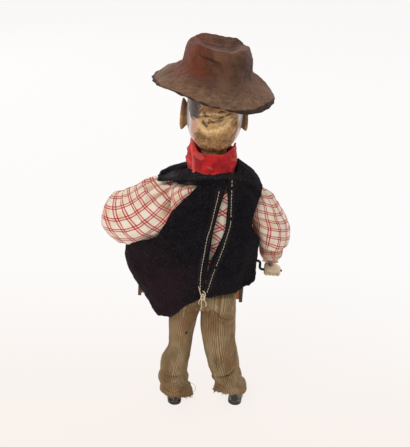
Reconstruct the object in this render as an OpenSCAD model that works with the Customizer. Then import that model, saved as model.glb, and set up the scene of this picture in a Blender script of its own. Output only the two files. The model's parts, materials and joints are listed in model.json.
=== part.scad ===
/* [Whole figure] */
// Upright axis of the body, left or right of the origin
body_x = -8; // [-12:0.1:-4]
// Upright axis of the body, in front of or behind the origin
body_y = 11.9; // [6:0.1:16]
// Height of the hips above the soles
hip_z = 88; // [78:1:106]
// Height of the torso from the hips to the shoulders
torso_h = 96; // [88:1:108]
// Gap between a turning piece and what it turns in
fit_gap = 0.05; // [0.02:0.01:0.1]
// Gap kept round cloth that lies over a rigid piece
cloth_gap = 0.4; // [0.3:0.05:0.8]

/* [Hat] */
// Radius of the brim
brim_r = 40.2; // [36:0.2:46]
// Drop of the brim's edge below the foot of the crown
brim_drop = 11; // [4:0.5:14]
// Half width of the crown at its foot
crown_foot_r = 23.5; // [20:0.5:26]
// Half width of the crown at its top
crown_top_r = 20; // [17:0.5:23]
// Height of the crown
crown_h = 20; // [17:0.5:25]
// Depth of the dish in the crown's top
crown_dish = 3.5; // [0:0.5:5]
// Thickness of the moulded felt
felt_t = 1.8; // [1.2:0.1:3]
// Lean of the hat towards the figure's right
hat_lean = 3.5; // [0:0.5:8]

/* [Head] */
// Half width of the head at the cheeks
head_half_w = 18.5; // [15:0.5:21]
// Height from the chin to the brow line
brow_h = 33; // [28:0.5:38]
// Height of the neck between the shoulders and the chin
neck_h = 22; // [18:0.5:27]
// Diameter of the wooden peg that the head turns on
neck_peg_d = 9; // [6:0.5:11]
// Radius of the neck below the jaw
neck_r = 8.6; // [7.5:0.1:10]

/* [Neckerchief] */
// Outer radius of the wound neckerchief
kerchief_r = 16.6; // [15.6:0.2:19]
// Thickness of the wound cloth at its top edge
kerchief_t = 1.3; // [1:0.1:2]

/* [Torso] */
// Width of the wooden body at the shoulders
torso_w = 54; // [48:1:60]
// Depth of the wooden body
torso_d = 26; // [22:1:30]
// Middle of the body's depth, behind the upright axis
torso_y = 2.5; // [0:0.5:5]

/* [Waistcoat] */
// Thickness of the waistcoat's felt
waistcoat_t = 1.6; // [1:0.1:2.4]
// Half depth of the waistcoat
waistcoat_d = 22; // [20.5:0.5:26]
// Half width of the tied slit at its widest
slit_half = 3.8; // [2:0.2:5]

/* [Arms] */
// Diameter of the arm wire
arm_wire_d = 3; // [2:0.25:4]
// Radius of the left sleeve where it puffs out at the elbow
left_puff_r = 19; // [16:0.5:21]
// Half width of the right upper sleeve
right_puff_half_w = 11.3; // [10.6:0.1:13]
// Half depth of the right upper sleeve
right_puff_half_d = 18.8; // [18.4:0.2:21]

/* [Legs] */
// Diameter of the turned leg at the thigh
thigh_d = 14; // [11:0.5:16]
// Diameter of the turned leg at the ankle
ankle_d = 9; // [7:0.5:11]
// Diameter of the tenons that join a leg to the body and the shoe
tenon_d = 6; // [4:0.5:7]
// Length of a shoe
shoe_len = 36; // [30:1:40]
// Width of a shoe across the ball of the foot
shoe_w = 14; // [11:0.5:16]
// Thickness of a shoe's sole
sole_t = 2; // [1.5:0.25:3]

/* [Organ case] */
// Width of the organ across its side panels
organ_w = 78.4; // [66:0.2:94]
// Depth of the organ from its back panel to its front
organ_d = 41; // [40:0.5:50]
// Height of the organ from the feet of its sides to its lid
organ_h = 54.5; // [53:0.5:64]
// Middle of the organ, to the left of the upright axis
organ_x = 9.8; // [5:0.2:15]
// Back of the organ, in front of the upright axis
organ_back_y = -22; // [-26:0.5:-21.5]
// Thickness of the organ's panels
panel_t = 2.5; // [2:0.25:3]
// Overhang of the lid
lid_lip = 1.5; // [0.5:0.25:3]
// Diameter of the panel pins
pin_d = 1; // [0.8:0.1:1.4]

/* [Clockwork] */
// Tooth size of the whole gear train, pitch diameter over tooth count
gear_module = 0.5; // [0.42:0.01:0.5]
// Teeth of the great wheel
great_teeth = 48; // [44:2:48]
// Teeth of the pinion that the great wheel drives
crank_pinion_teeth = 12; // [10:1:12]
// Teeth of the wheel on the crank shaft
crank_wheel_teeth = 40; // [36:2:40]
// Teeth of the third wheel
third_teeth = 30; // [26:2:30]
// Teeth of the two small pinions
small_pinion_teeth = 10; // [10:1:10]
// Distance between the two plates
plate_gap = 22; // [20:0.5:27]
// Thickness of a plate
plate_t = 1.2; // [1:0.1:1.6]
// Diameter of the pillars
pillar_d = 3.5; // [2.5:0.25:4]
// Thickness of the wheels
wheel_t = 1.4; // [1:0.1:1.8]
// Diameter of the winding arbor
winding_d = 3.2; // [2.6:0.1:3.6]
// Diameter of the two small arbors
arbor_d = 1.6; // [1.2:0.1:2]
// Thickness of the mainspring's strip
spring_t = 0.45; // [0.3:0.05:0.6]
// Turns of the mainspring
spring_turns = 7; // [5:1:8]

/* [Crank and hand] */
// Diameter of the crank's wire
crank_d = 2; // [1.6:0.1:2.6]
// Throw of the crank
crank_r = 7; // [5:0.5:7.5]
// Height of the crank shaft above the hips
crank_rise = 15.5; // [14.5:0.5:17]
// Distance of the crank shaft in front of the upright axis
crank_fwd = 36; // [34:0.5:38]
// Half width of the right lower sleeve below the upper sleeve
lower_puff_r = 8.2; // [6.6:0.1:8.2]

/* [Hidden] */
$fn = 48;

// Levels that follow from the hips and the torso
shoulder_z = hip_z + torso_h;
chin_z = shoulder_z + neck_h;
crown_foot_z = chin_z + 53;
waist_z = hip_z + 22;

function mix(a, b, t) = a + (b - a) * t;
function bell(x, w) = exp(-pow(x / w, 2));
function ramp(a, b, x) = let (t = min(1, max(0, (x - a) / (b - a)))) t * t * (3 - 2 * t);

// Smooth curve through a short table of [place, value]
function table_slope(t, i) =
    let (a = max(i - 1, 0), b = min(i + 1, len(t) - 1)) (t[b][1] - t[a][1]) / (t[b][0] - t[a][0]);
function table_place(t, x, i = 0) = i >= len(t) - 2 || x < t[i + 1][0] ? i : table_place(t, x, i + 1);
function curve(t, x) =
    let (c = min(max(x, t[0][0]), t[len(t) - 1][0]), i = table_place(t, c),
        h = t[i + 1][0] - t[i][0], s = (c - t[i][0]) / h)
    (2 * s ^ 3 - 3 * s ^ 2 + 1) * t[i][1] + (s ^ 3 - 2 * s ^ 2 + s) * h * table_slope(t, i)
        + (3 * s ^ 2 - 2 * s ^ 3) * t[i + 1][1] + (s ^ 3 - s ^ 2) * h * table_slope(t, i + 1);

// Unit steps along a rounded outline, from round at 2 towards square
function soft_sin(a, n) = sign(sin(a)) * pow(abs(sin(a)), 2 / n);
function soft_cos(a, n) = sign(cos(a)) * pow(abs(cos(a)), 2 / n);

// Places every piece about the body's upright axis
module placed() {
    translate([body_x, body_y, 0]) children();
}

// Closed skin over rings of points that rise anticlockwise, ended by fans
module skin(rings) {
    cols = len(rings[0]);
    rows = len(rings);
    first = rows * cols;
    middles = [for (ring = [rings[0], rings[rows - 1]])
        [for (k = [0:2]) [for (p = ring) p[k]] * [for (p = ring) 1 / cols]]];
    polyhedron(
        points = concat([for (ring = rings) each ring], middles),
        faces = [
            for (r = [0:rows - 2], c = [0:cols - 1])
                let (a = r * cols + c, b = r * cols + (c + 1) % cols)
                each [[a, a + cols, b + cols], [a, b + cols, b]],
            for (c = [0:cols - 1])
                let (d = (c + 1) % cols, top = (rows - 1) * cols)
                each [[c, d, first], [top + c, first + 1, top + d]]
        ]);
}

// Cloth of a given thickness between an outer and an inner grid of points
module cloth(outer, inner, closed = false) {
    rows = len(outer);
    cols = len(outer[0]);
    last = closed ? cols - 1 : cols - 2;
    off = rows * cols;
    polyhedron(
        points = concat([for (row = outer) each row], [for (row = inner) each row]),
        faces = [
            for (r = [0:rows - 2], c = [0:last])
                let (a = r * cols + c, b = r * cols + (c + 1) % cols, d = a + cols, e = b + cols)
                each [[a, d, e], [a, e, b], [off + a, off + e, off + d], [off + a, off + b, off + e]],
            for (c = [0:last])
                let (a = c, b = (c + 1) % cols, d = (rows - 1) * cols + a, e = (rows - 1) * cols + b)
                each [[a, b, off + b], [a, off + b, off + a], [e, d, off + d], [e, off + d, off + e]],
            if (!closed)
                for (r = [0:rows - 2])
                    let (a = r * cols, d = a + cols, b = a + cols - 1, e = b + cols)
                    each [[d, a, off + a], [d, off + a, off + d], [b, e, off + e], [b, off + e, off + b]]
        ]);
}

// Rings of a soft tube along a path of [x, y, z, radius, depth of the gathers]
function path_side(t) = let (s = cross(t, [0, 0, 1])) s / norm(s);
function tube_rings(path, cols) = [
    for (i = [0:len(path) - 1])
        let (p = path[i], a = path[max(i - 1, 0)], b = path[min(i + 1, len(path) - 1)],
            run = [b[0] - a[0], b[1] - a[1], b[2] - a[2]], t = run / norm(run),
            s = path_side(t), u = cross(s, t))
        [for (c = [0:cols - 1]) let (w = 360 * c / cols)
            [p[0], p[1], p[2]] + p[3] * (s * cos(w) - u * sin(w)) * (1 + p[4] * cos(w * 6 + 50 * i))]];

// Turn of a slanting round piece's seam, away from where a level cut meets it
seam_turn = 35;

// How much fuller a bent wire or a finger is at its bends and ends
joint_swell = 0.06;

// Straight round bar from one point to another, with its axis turned to fit
module bar(from, to, r) {
    run = to - from;
    translate(from)
        rotate([0, acos(run[2] / norm(run)), atan2(run[1], run[0])])
            rotate([0, 0, seam_turn])
                cylinder(r = r, h = norm(run));
}

// Round bar along X
module bar_x(x0, x1, y, z, r) {
    translate([x0, y, z]) rotate([0, 90, 0]) cylinder(r = r, h = x1 - x0);
}

// Flat outline in the plane across X, from x0 and t thick
module slab_x(x0, t) {
    translate([x0, 0, 0]) rotate([90, 0, 90]) linear_extrude(t) children();
}

// Hat, leaning about the top of the head
hat_x = 1.9;
hat_y = 1;

module lean_hat() {
    translate([hat_x, hat_y, crown_foot_z])
        rotate([0, -hat_lean, 0])
            children();
}

function brim_edge_r(a) = brim_r * (1 + 0.012 * cos(2 * a + 30) + 0.008 * cos(5 * a));
function brim_wave(a) =
    0.5 + 3.1 * cos(a + 43) + 0.5 * cos(2 * a - 111) + 1.3 * cos(3 * a + 167)
    + 0.4 * cos(4 * a + 150) + 0.25 * cos(7 * a);
function crown_r(h) = mix(crown_foot_r, crown_top_r, ramp(-4, crown_h + 8, h) * 1.05);
function crown_long(a) = 1 + 0.05 * abs(sin(a)) ^ 2;
// Height of the brim's middle surface at radius r
function brim_z(a, r) =
    let (s = (r - crown_foot_r) / (brim_r - crown_foot_r))
    -brim_drop * (0.35 * s + 0.65 * s ^ 1.6) + brim_wave(a) * s;

hat_cols = 44;
hat_angles = [for (c = [0:hat_cols - 1]) 360 * c / hat_cols];
function crown_ring(r_share, h, grow = 0) = [
    for (a = hat_angles)
        let (r = crown_r(h) * crown_long(a) * r_share + grow)
        [r * cos(a), r * sin(a), h]];
function dish(r_share) = crown_h - crown_dish * (1 - ramp(0.35, 0.9, r_share));
function brim_ring(s, lift) = [
    for (a = hat_angles)
        let (foot = crown_foot_r * crown_long(a), r = mix(foot, brim_edge_r(a), s))
        [r * cos(a), r * sin(a), brim_z(a, mix(crown_foot_r, brim_r, s)) + lift]];

module hat() {
    t = felt_t;
    rings = concat(
        [for (r = [0.3, 0.6, 0.8, 0.9]) crown_ring(r, dish(r))],
        [crown_ring(0.965, crown_h - 0.3), crown_ring(1, crown_h - 1.8)],
        [for (h = [crown_h * 0.72, crown_h * 0.45, crown_h * 0.2, 2]) crown_ring(1, h)],
        [for (s = [0.1, 0.4, 0.75, 0.96]) brim_ring(s, t * 0.4)],
        [brim_ring(1, 0)],
        [for (s = [0.96, 0.7, 0.3]) brim_ring(s, -t * 0.5)],
        [for (h = [0, crown_h * 0.45, crown_h - 2.6 - t]) crown_ring(1, h, -t)],
        [for (r = [0.8, 0.3]) crown_ring(r, crown_h - crown_dish - t, 0)]);
    placed() color("saddlebrown") lean_hat()
        skin([for (i = [len(rings) - 1:-1:0]) rings[i]]);
}

// Head, turned and moulded round its own axis
head_x = 1;
head_y = 1;
head_widths = [
    [0, 0.48], [3, 0.63], [8, 0.82], [15, 0.96], [24, 1], [34, 1], [44, 0.95], [54, 0.85], [72, 0.6]];
head_backs = [[0, 9.5], [3, 13], [8, 17], [15, 20.5], [24, 22.5], [34, 23], [44, 22], [54, 19], [72, 12]];
head_fronts = [
    [0, 15], [2, 17.5], [6, 18.4], [12, 17.8], [20, 18.4], [28, 18], [34, 19.4], [42, 19.6], [54, 17],
    [72, 11]];
eye_h = 26.5;
nose_h = 17.5;
mouth_h = 11.5;

// How far the face stands out from the plain head, in front only
function face(x, h) =
    5.2 * bell(x, 2.4 + 1.2 * ramp(nose_h + 7, nose_h, h)) * ramp(nose_h - 1.8, nose_h + 0.4, h)
        * ramp(eye_h + 5, nose_h + 2, h)
    + 1.0 * bell(abs(x) - 2.9, 1.3) * bell(h - nose_h - 0.8, 1.6)
    - 2.3 * bell(abs(x) - 7, 3.6) * bell(h - eye_h, 3.2)
    + 1.5 * bell(abs(x) - 7, 2.5) * bell(h - eye_h, 1.8)
    + 0.9 * bell(abs(x) - 7, 5) * bell(h - brow_h, 2.2)
    + 1.5 * bell(x, 4.8) * (bell(h - mouth_h - 1.3, 1.1) + 1.05 * bell(h - mouth_h + 1.4, 1.2))
    - 0.7 * bell(x, 5) * bell(h - mouth_h, 0.5)
    + 1.6 * bell(x, 4.5) * bell(h - 3.4, 3)
    + 0.8 * bell(abs(x) - 10, 4) * bell(h - nose_h, 6);

head_cols = 44;
head_steps = [0, 1.2, 3, 5, 7, 8.6, 9.8, 10.8, 11.5, 12.2, 13.2, 14.6, 15.8, 17, 18.4, 20, 22, 23.6, 25,
    26.5, 28, 29.6, 31.4, 33, 35, 38, 42, 46, 50, 55, 61];

// Columns stand closer together over the face, where a is 270 degrees
function head_angle(c) = let (a = 360 * c / head_cols) a + 24 * cos(a);
function head_point(a, h) =
    let (w = head_half_w * curve(head_widths, h), back = curve(head_backs, h), front = curve(head_fronts, h),
        n = 2.25, x = w * soft_cos(a, n), y = (sin(a) > 0 ? back : front) * soft_sin(a, n),
        out = sin(a) < 0 ? face(x, h) * ramp(0, 0.5, -sin(a)) : 0)
    [head_x + x, head_y + y - out, chin_z + h];

module ear(side) {
    lean_in = 12;
    translate([head_x + side * (head_half_w - 1.2), head_y + 2, chin_z + 19.5])
        rotate([8, 0, side * lean_in])
            hull() {
                translate([side * 1.2, 0, 5.5]) sphere(r = 2.3, $fn = 16);
                translate([side * 2.2, 3.4, 4.2]) sphere(r = 2, $fn = 16);
                translate([side * 0.2, 0.4, -5.5]) sphere(r = 1.8, $fn = 16);
            }
}

neck_foot_z = shoulder_z + 13.5;
peg_top_z = chin_z + 30;

module head() {
    placed() color("peru") difference() {
        union() {
            intersection() {
                skin(concat(
                    [for (h = head_steps) [for (c = [0:head_cols - 1]) head_point(head_angle(c), h)]],
                    [[for (c = [0:head_cols - 1]) head_point(head_angle(c), 72)]]));
                lean_hat()
                    translate([0, 0, -100])
                        cylinder(r = 60, h = 100 + crown_h - crown_dish - felt_t, $fn = 24);
            }
            translate([0, head_y, neck_foot_z]) cylinder(r = neck_r, h = chin_z - neck_foot_z + 6);
            ear(1);
            ear(-1);
        }
        translate([0, head_y, neck_foot_z - 1])
            cylinder(d = neck_peg_d + 2 * fit_gap, h = peg_top_z - neck_foot_z + 2);
    }
}

peg_foot_z = shoulder_z - 14;

module neck_peg() {
    placed() color("burlywood")
        translate([0, head_y, peg_foot_z]) {
            cylinder(d = neck_peg_d, h = peg_top_z - peg_foot_z - 1);
            translate([0, 0, peg_top_z - peg_foot_z - 1])
                cylinder(d1 = neck_peg_d, d2 = neck_peg_d - 1.6, h = 1);
        }
}

// Neckerchief, wound round the neck with a stand-up top edge
kerchief_foot_z = shoulder_z + 7;
kerchief_h = 19.5;
kerchief_cols = 36;
kerchief_x = 1.1;
// Top edge: high beside the ears, dipping behind, low under the chin
function kerchief_top(a) =
    kerchief_foot_z + kerchief_h - 4.5 * ramp(0.5, 0.95, sin(a)) - 5.5 * ramp(-0.05, 0.45, -sin(a));
function kerchief_fold(a, s) =
    0.5 * cos(4 * a + 160 * s) * sin(180 * s) + 0.4 * cos(3 * a - 40) * bell(s - 0.3, 0.25);
function kerchief_out(a, s) =
    kerchief_r + curve([[0, -0.8], [0.2, 0.3], [0.6, 0], [1, -0.9]], s) + kerchief_fold(a, s);
function kerchief_in(s) = mix(neck_r + 2, kerchief_r - 0.9 - kerchief_t, ramp(0.12, 0.5, s));

module neckerchief() {
    rows = [0, 0.12, 0.3, 0.48, 0.66, 0.84, 1];
    angles = [for (c = [0:kerchief_cols - 1]) 360 * c / kerchief_cols];
    function at(r, a, s) = [
        kerchief_x + r * cos(a), head_y + 0.6 + r * sin(a), mix(kerchief_foot_z, kerchief_top(a), s)];
    placed() color("firebrick") {
        cloth(
            [for (s = rows) [for (a = angles) at(kerchief_out(a, s), a, s)]],
            [for (s = rows) [for (a = angles) at(kerchief_in(s), a, s)]],
            closed = true);
        // Knot and the two ends under the chin
        translate([kerchief_x, head_y - kerchief_r - 1.4, kerchief_foot_z + 5]) {
            hull() {
                translate([-2, 0, 0]) sphere(r = 2.8, $fn = 16);
                translate([2, 0, 0]) sphere(r = 2.8, $fn = 16);
            }
            for (side = [-1, 1])
                hull() {
                    translate([side * 1.5, 0, 0]) sphere(r = 1.6, $fn = 12);
                    translate([side * 6, -3.6, -11]) sphere(r = 1, $fn = 12);
                    translate([side * 1, -3.6, -12]) sphere(r = 1, $fn = 12);
                }
        }
    }
}

// Wooden body, shaped by its front outline and its rounded plan
torso_halves = [[0, 0.8], [0.25, 0.72], [0.55, 0.88], [0.8, 1], [0.9, 0.97], [0.96, 0.8], [1, 0.42]];

module body_block(grow, from_z, to_z) {
    steps = 16;
    beyond = 20;
    half = torso_w / 2;
    function side_half(z) = half * curve(torso_halves, (z - hip_z) / torso_h) + grow;
    levels = concat(
        [hip_z - beyond], [for (i = [0:steps]) mix(hip_z, shoulder_z, i / steps)], [shoulder_z + beyond]);
    side = [for (z = levels) [side_half(z), z]];
    intersection() {
        translate([0, torso_y, from_z])
            linear_extrude(to_z - from_z)
                polygon([for (i = [0:39]) let (a = 9 * i)
                    [(half + grow) * soft_cos(a, 3.2), (torso_d / 2 + grow) * soft_sin(a, 3.2)]]);
        translate([0, torso_y + torso_d, 0])
            rotate([90, 0, 0])
                linear_extrude(2 * torso_d)
                    polygon(concat(side, [for (i = [len(side) - 1:-1:0]) [-side[i][0], side[i][1]]]));
    }
}

bracket_w = 26;
bracket_h = 14;
bracket_z = hip_z + 4;
bracket_seat = 4;
bracket_x = 5;
torso_front_y = torso_y - torso_d / 2;

module bracket_block(grow = 0) {
    from_y = organ_back_y;
    to_y = torso_front_y + bracket_seat;
    translate([bracket_x - bracket_w / 2 - grow, from_y, bracket_z - grow])
        cube([bracket_w + 2 * grow, to_y - from_y, bracket_h + 2 * grow]);
}

// Legs, slanting from the hips to the shoes
left_hip = [12.5, 3.5, hip_z];
left_ankle = [15.8, 0.5, 12];
right_hip = [-12.5, 3, hip_z];
right_ankle = [-27.8, -4, 12];
hip_tenon = 12;
ankle_tenon = 6;

module leg_tenons(hip, ankle) {
    way = (hip - ankle) / norm(hip - ankle);
    bar(ankle - way * ankle_tenon, hip + way * hip_tenon, tenon_d / 2);
}

// Radii of a turned leg by height from the ankle, as a share of its length
function leg_turning(len) = [
    [ankle_d / 2, -4], [ankle_d / 2, 3], [ankle_d / 2 + 1.5, len * 0.2], [thigh_d / 2 - 1, len * 0.45],
    [thigh_d / 2 - 0.6, len * 0.55], [thigh_d / 2, len * 0.75], [thigh_d / 2 - 0.3, len + 4]];

module leg_form(hip, ankle, grow = 0) {
    way = hip - ankle;
    len = norm(way);
    outline = [for (p = leg_turning(len)) [p[0] + grow, p[1]]];
    translate(ankle)
        rotate([0, acos(way[2] / len), atan2(way[1], way[0])])
            rotate([0, 0, seam_turn])
                rotate_extrude() polygon(concat([[0, -4]], outline, [[0, len + 4]]));
}

module turned_leg(hip, ankle) {
    placed() color("tan") {
        intersection() {
            leg_form(hip, ankle);
            translate([-60, -60, ankle[2]]) cube([120, 120, hip[2] - ankle[2]]);
        }
        leg_tenons(hip, ankle);
    }
}

module left_leg() {
    turned_leg(left_hip, left_ankle);
}

module right_leg() {
    turned_leg(right_hip, right_ankle);
}

// Arms
left_shoulder = [20, 1, shoulder_z - 11];
left_elbow = [53, -4, shoulder_z - 36];
left_wrist = [43, -41, shoulder_z - 47.5];
right_shoulder = [-20, 1, shoulder_z - 11];
right_elbow = [-44, -5, shoulder_z - 19];
arm_seat = 6;

module left_arm_form(grow = 0) {
    into = (left_shoulder - left_elbow) / norm(left_shoulder - left_elbow);
    palm = (left_wrist - left_elbow) / norm(left_wrist - left_elbow);
    r = arm_wire_d / 2 + grow;
    bar(left_elbow, left_shoulder + into * arm_seat, r);
    bar(left_elbow, left_wrist + palm * arm_seat, r);
    translate(left_elbow) sphere(r = r + joint_swell);
}

module right_arm_form(grow = 0) {
    into = (right_shoulder - right_elbow) / norm(right_shoulder - right_elbow);
    r = arm_wire_d / 2 + grow;
    bar(right_elbow, right_shoulder + into * arm_seat, r);
    translate(right_elbow) sphere(r = r + joint_swell);
}

module torso() {
    placed() color("burlywood") difference() {
        union() {
            body_block(0, hip_z, shoulder_z);
            translate([0, head_y, shoulder_z - 6])
                cylinder(r = neck_r - 0.4, h = neck_foot_z - shoulder_z + 6);
        }
        translate([0, head_y, peg_foot_z]) cylinder(d = neck_peg_d, h = neck_foot_z - peg_foot_z + 1);
        leg_tenons(left_hip, left_ankle);
        leg_tenons(right_hip, right_ankle);
        left_arm_form();
        right_arm_form();
        bracket_block();
        bracket_screw_shanks();
    }
}

// Shirt between the wooden body and the waistcoat
shirt_t = 1;
shirt_room = 2.4;
shirt_drop = 3.5;

module shirt_body() {
    placed() color("antiquewhite") difference() {
        body_block(shirt_room + shirt_t, waist_z, shoulder_z - shirt_drop);
        body_block(shirt_room, waist_z - 1, shoulder_z - shirt_drop + 1);
        left_arm_form(cloth_gap);
        right_arm_form(cloth_gap);
    }
}

// Waistcoat, one piece of felt hung from the neck and tied up the back
coat_n = 2.4;
coat_rows = [0, 0.015, 0.035, 0.06, 0.09, 0.13, 0.19, 0.27, 0.36, 0.46, 0.56, 0.66, 0.77, 0.88, 1];
coat_cols = 36;
coat_top_z = shoulder_z + 4;
// Half widths and depths by height below the neck edge
coat_left = [[0, 17.2], [2, 25.5], [4, 31], [6.5, 35.4], [10, 37.2], [20, 38.5], [34, 43.5], [46, 51],
    [58, 57], [68, 56.2], [80, 51.3], [92, 44.5], [107, 39.5]];
coat_right = [[0, 17.8], [2, 24], [4, 28], [7, 32], [12, 35], [20, 35.8], [48, 35.6], [78, 34.5], [104, 33]];
coat_deep = [[0, 0.62], [2, 0.72], [4, 0.82], [7, 0.91], [12, 0.98], [18, 1], [60, 1.03], [104, 1.06]];
// How far the felt stands up over each shoulder, by the same height
coat_lift_left = [[0, 0.2], [2, 0.9], [6, 3], [20, 0]];
coat_lift_right = [[0, 8], [2, 6.4], [4, 5.6], [7, 4.6], [12, 4.5], [22, 0]];
// How far the neck edge stands up all round
collar_h = 2.6;
// Hem height above the hips, by angle round from the middle of the back to the left
coat_hem = [[0, 15.4], [12, 7], [25, -2.6], [37, -5], [50, -4], [63, 2], [90, 14], [130, 24], [180, 25],
    [230, 24], [280, 24], [300, 22], [325, 18], [345, 17], [360, 15.4]];
slit_foot = [0.2, hip_z + 15.4];
slit_top_x = -8.5;
slit_lean = (slit_top_x - slit_foot[0]) / (coat_top_z - slit_foot[1]);

// Share of the slit's widest gap, by share of its height; its edges meet below the neck
slit_shape = [[0, 0], [0.18, 0.16], [0.4, 0.66], [0.6, 1], [0.75, 0.72], [0.86, 0.2], [0.92, 0], [1, 0]];
slit_closed = 0.12;

function slit_gap(z) =
    let (s = (z - slit_foot[1]) / (coat_top_z - slit_foot[1]))
    slit_closed + (slit_half - slit_closed) * max(0, curve(slit_shape, s));
function slit_angle(x, a) = let (s = min(1, abs(x) / a)) sign(x) * asin(pow(s, coat_n / 2));
function coat_fold(a, s) = s * (1.1 * cos(5 * a + 30) + 0.8 * cos(9 * a - 60 * s)) * ramp(0.2, 0.9, s);

function coat_point(u, s, inward) =
    let (guess = 360 * u, rough = mix(coat_top_z, hip_z + curve(coat_hem, guess), s),
        drop = coat_top_z - rough, left = curve(coat_left, drop), right = curve(coat_right, drop),
        mid = slit_foot[0] + slit_lean * (rough - slit_foot[1]), gap = slit_gap(rough),
        x0 = mid + gap, x1 = mid - gap,
        a0 = slit_angle(x0, x0 > 0 ? left : right), a1 = 360 + slit_angle(x1, x1 > 0 ? left : right),
        a = mix(a0, a1, u),
        lift = curve(sin(a) > 0 ? coat_lift_left : coat_lift_right, drop) * ramp(0.84, 0.97, abs(sin(a)))
            + collar_h * ramp(7, 0, drop),
        wide = (sin(a) > 0 ? left : right) + coat_fold(a, s) * abs(sin(a)) - inward,
        back = cos(a) > 0,
        front_share = back ? 1 : mix(1, 0.93, ramp(10, 60, drop)),
        deep = waistcoat_d * curve(coat_deep, drop) * front_share + (back ? coat_fold(a, s) : 0) - inward)
    [wide * soft_sin(a, coat_n), torso_y + deep * soft_cos(a, coat_n), rough + lift];

function coat_row(s, inward) = [for (c = [0:coat_cols - 1]) coat_point(1 - c / (coat_cols - 1), s, inward)];

// What the left arm's opening takes out, by height from the shoulder, behind and in front
opening_top = [[9, -1.5], [20, -0.6], [30, -2], [46, -4], [80, -20]];
opening_behind = [[80, -57], [59, -57], [48, -53], [35, -40], [29.5, -29], [25, -18.5], [17, -8.5]];
opening_in_front = [[80, -60], [42, -60], [31, -52], [27, -38], [22, -24], [14, -12]];

module left_opening() {
    for (half = [[60, opening_behind], [torso_y, opening_in_front]])
        translate([0, half[0], shoulder_z])
            rotate([90, 0, 0])
                linear_extrude(60)
                    polygon(concat(opening_top, half[1]));
}

module right_opening() {
    translate([-80, 0, shoulder_z - 22])
        rotate([90, 0, 90])
            linear_extrude(57)
                polygon([for (i = [0:23]) [17.5 * cos(15 * i), 21.5 * sin(15 * i)]]);
}

module waistcoat() {
    placed() color("#1d1b22") difference() {
        cloth(
            [for (i = [len(coat_rows) - 1:-1:0]) coat_row(coat_rows[i], 0)],
            [for (i = [len(coat_rows) - 1:-1:0]) coat_row(coat_rows[i], waistcoat_t)]);
        left_opening();
        right_opening();
    }
}

// Thread that ties the slit, knotted below it
module waistcoat_tie() {
    knot = [slit_foot[0], torso_y + waistcoat_d * 1.08 + 1.7, hip_z + 14.5];
    placed() color("tan") {
        translate(knot) sphere(r = 1.3);
        bar(knot, knot + [2.4, 0.6, 6], 0.35);
        bar(knot, knot + [0.6, 1.2, -6.5], 0.35);
        bar(knot, knot + [-2.2, 0.8, -4.5], 0.35);
    }
}

// Left sleeve, puffed at the elbow and gathered at the wrist
// Each place is [x, y, height from the shoulder, share of the puff's radius, depth of the gathers]
left_sleeve_path = [
    [20, 1, -12, 0.55, 0.02], [26, 0.5, -16, 0.74, 0.02], [33, 0, -22.5, 0.93, 0.02], [41, -1, -29, 1, 0.02],
    [50, -3, -34.6, 1, 0.02], [57, -7, -37.6, 0.93, 0.02], [58, -13, -39.4, 0.85, 0.02],
    [54.5, -20, -40.4, 0.72, 0.03], [50.5, -27, -42.3, 0.6, 0.04], [47.2, -32, -44.6, 0.45, 0.06],
    [45, -35.4, -46.2, 0.33, 0.05], [44.4, -37, -46.8, 0.37, 0.08]];

// Room for a bent wire inside cloth
module wire_bore(path) {
    cols = 12;
    r = (arm_wire_d / 2 + cloth_gap) / cos(180 / cols);
    bend_room = 1.45;
    skin(tube_rings([for (p = path) [p[0], p[1], p[2], p == left_elbow ? r * bend_room : r, 0]], cols));
}

module left_sleeve() {
    path = [for (p = left_sleeve_path) [p[0], p[1], shoulder_z + p[2], p[3] * left_puff_r, p[4]]];
    placed() color("mistyrose") difference() {
        skin(tube_rings(path, 28));
        wire_bore([
            left_shoulder * 1.3 - left_elbow * 0.3, left_shoulder,
            left_elbow, left_wrist * 1.1 - left_elbow * 0.1]);
        body_block(shirt_room + shirt_t + cloth_gap, waist_z, shoulder_z + 4);
    }
}

module left_hand() {
    w = left_wrist;
    palm_z = organ_top_z + 2.6;
    placed() color("burlywood") difference() {
        union() {
            hull() {
                translate(w + [0, -0.6, 0]) sphere(r = 2.8, $fn = 24);
                for (x = [-3.4, 3])
                    translate([w[0] + x - 1, w[1] - 9, palm_z]) sphere(r = 2.6, $fn = 24);
            }
            for (i = [0:3])
                finger(
                    [w[0] - 5.2 + 2.7 * i, w[1] - 9.5, palm_z - 0.6],
                    [w[0] - 6.4 + 2.9 * i, w[1] - 17 - (i == 1 || i == 2 ? 1.5 : 0), organ_top_z + 1.35],
                    1.4);
            finger([w[0] + 2.6, w[1] - 4, palm_z - 0.2], [w[0] + 6.4, w[1] - 9.5, organ_top_z + 1.5], 1.5);
        }
        left_arm_form();
        translate([-100, -100, organ_top_z - 20]) cube([200, 200, 20]);
    }
}

// Finger or thumb, a little fuller at its two ends
module finger(from, to, r) {
    bar(from, to, r);
    for (end = [from, to])
        translate(end) sphere(r = r + joint_swell);
}

module left_arm() {
    placed() color("gray") left_arm_form();
}

module right_upper_arm() {
    placed() color("gray") right_arm_form();
}

// Crank shaft and the hand that it carries
crank_y = -crank_fwd;
crank_z = hip_z + crank_rise;
grip_z = crank_z - crank_r;
hand_x0 = -45;
hand_x1 = -56;
grip_angle = 45;
grip_way = [0, cos(grip_angle), sin(grip_angle)];
grip_axis = [(hand_x0 + hand_x1) / 2, crank_y, grip_z];
right_wrist = grip_axis + grip_way * 10 + [2.2, 0, 0];
forearm_top = [-46.2, -10.5, shoulder_z - 45];

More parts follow.
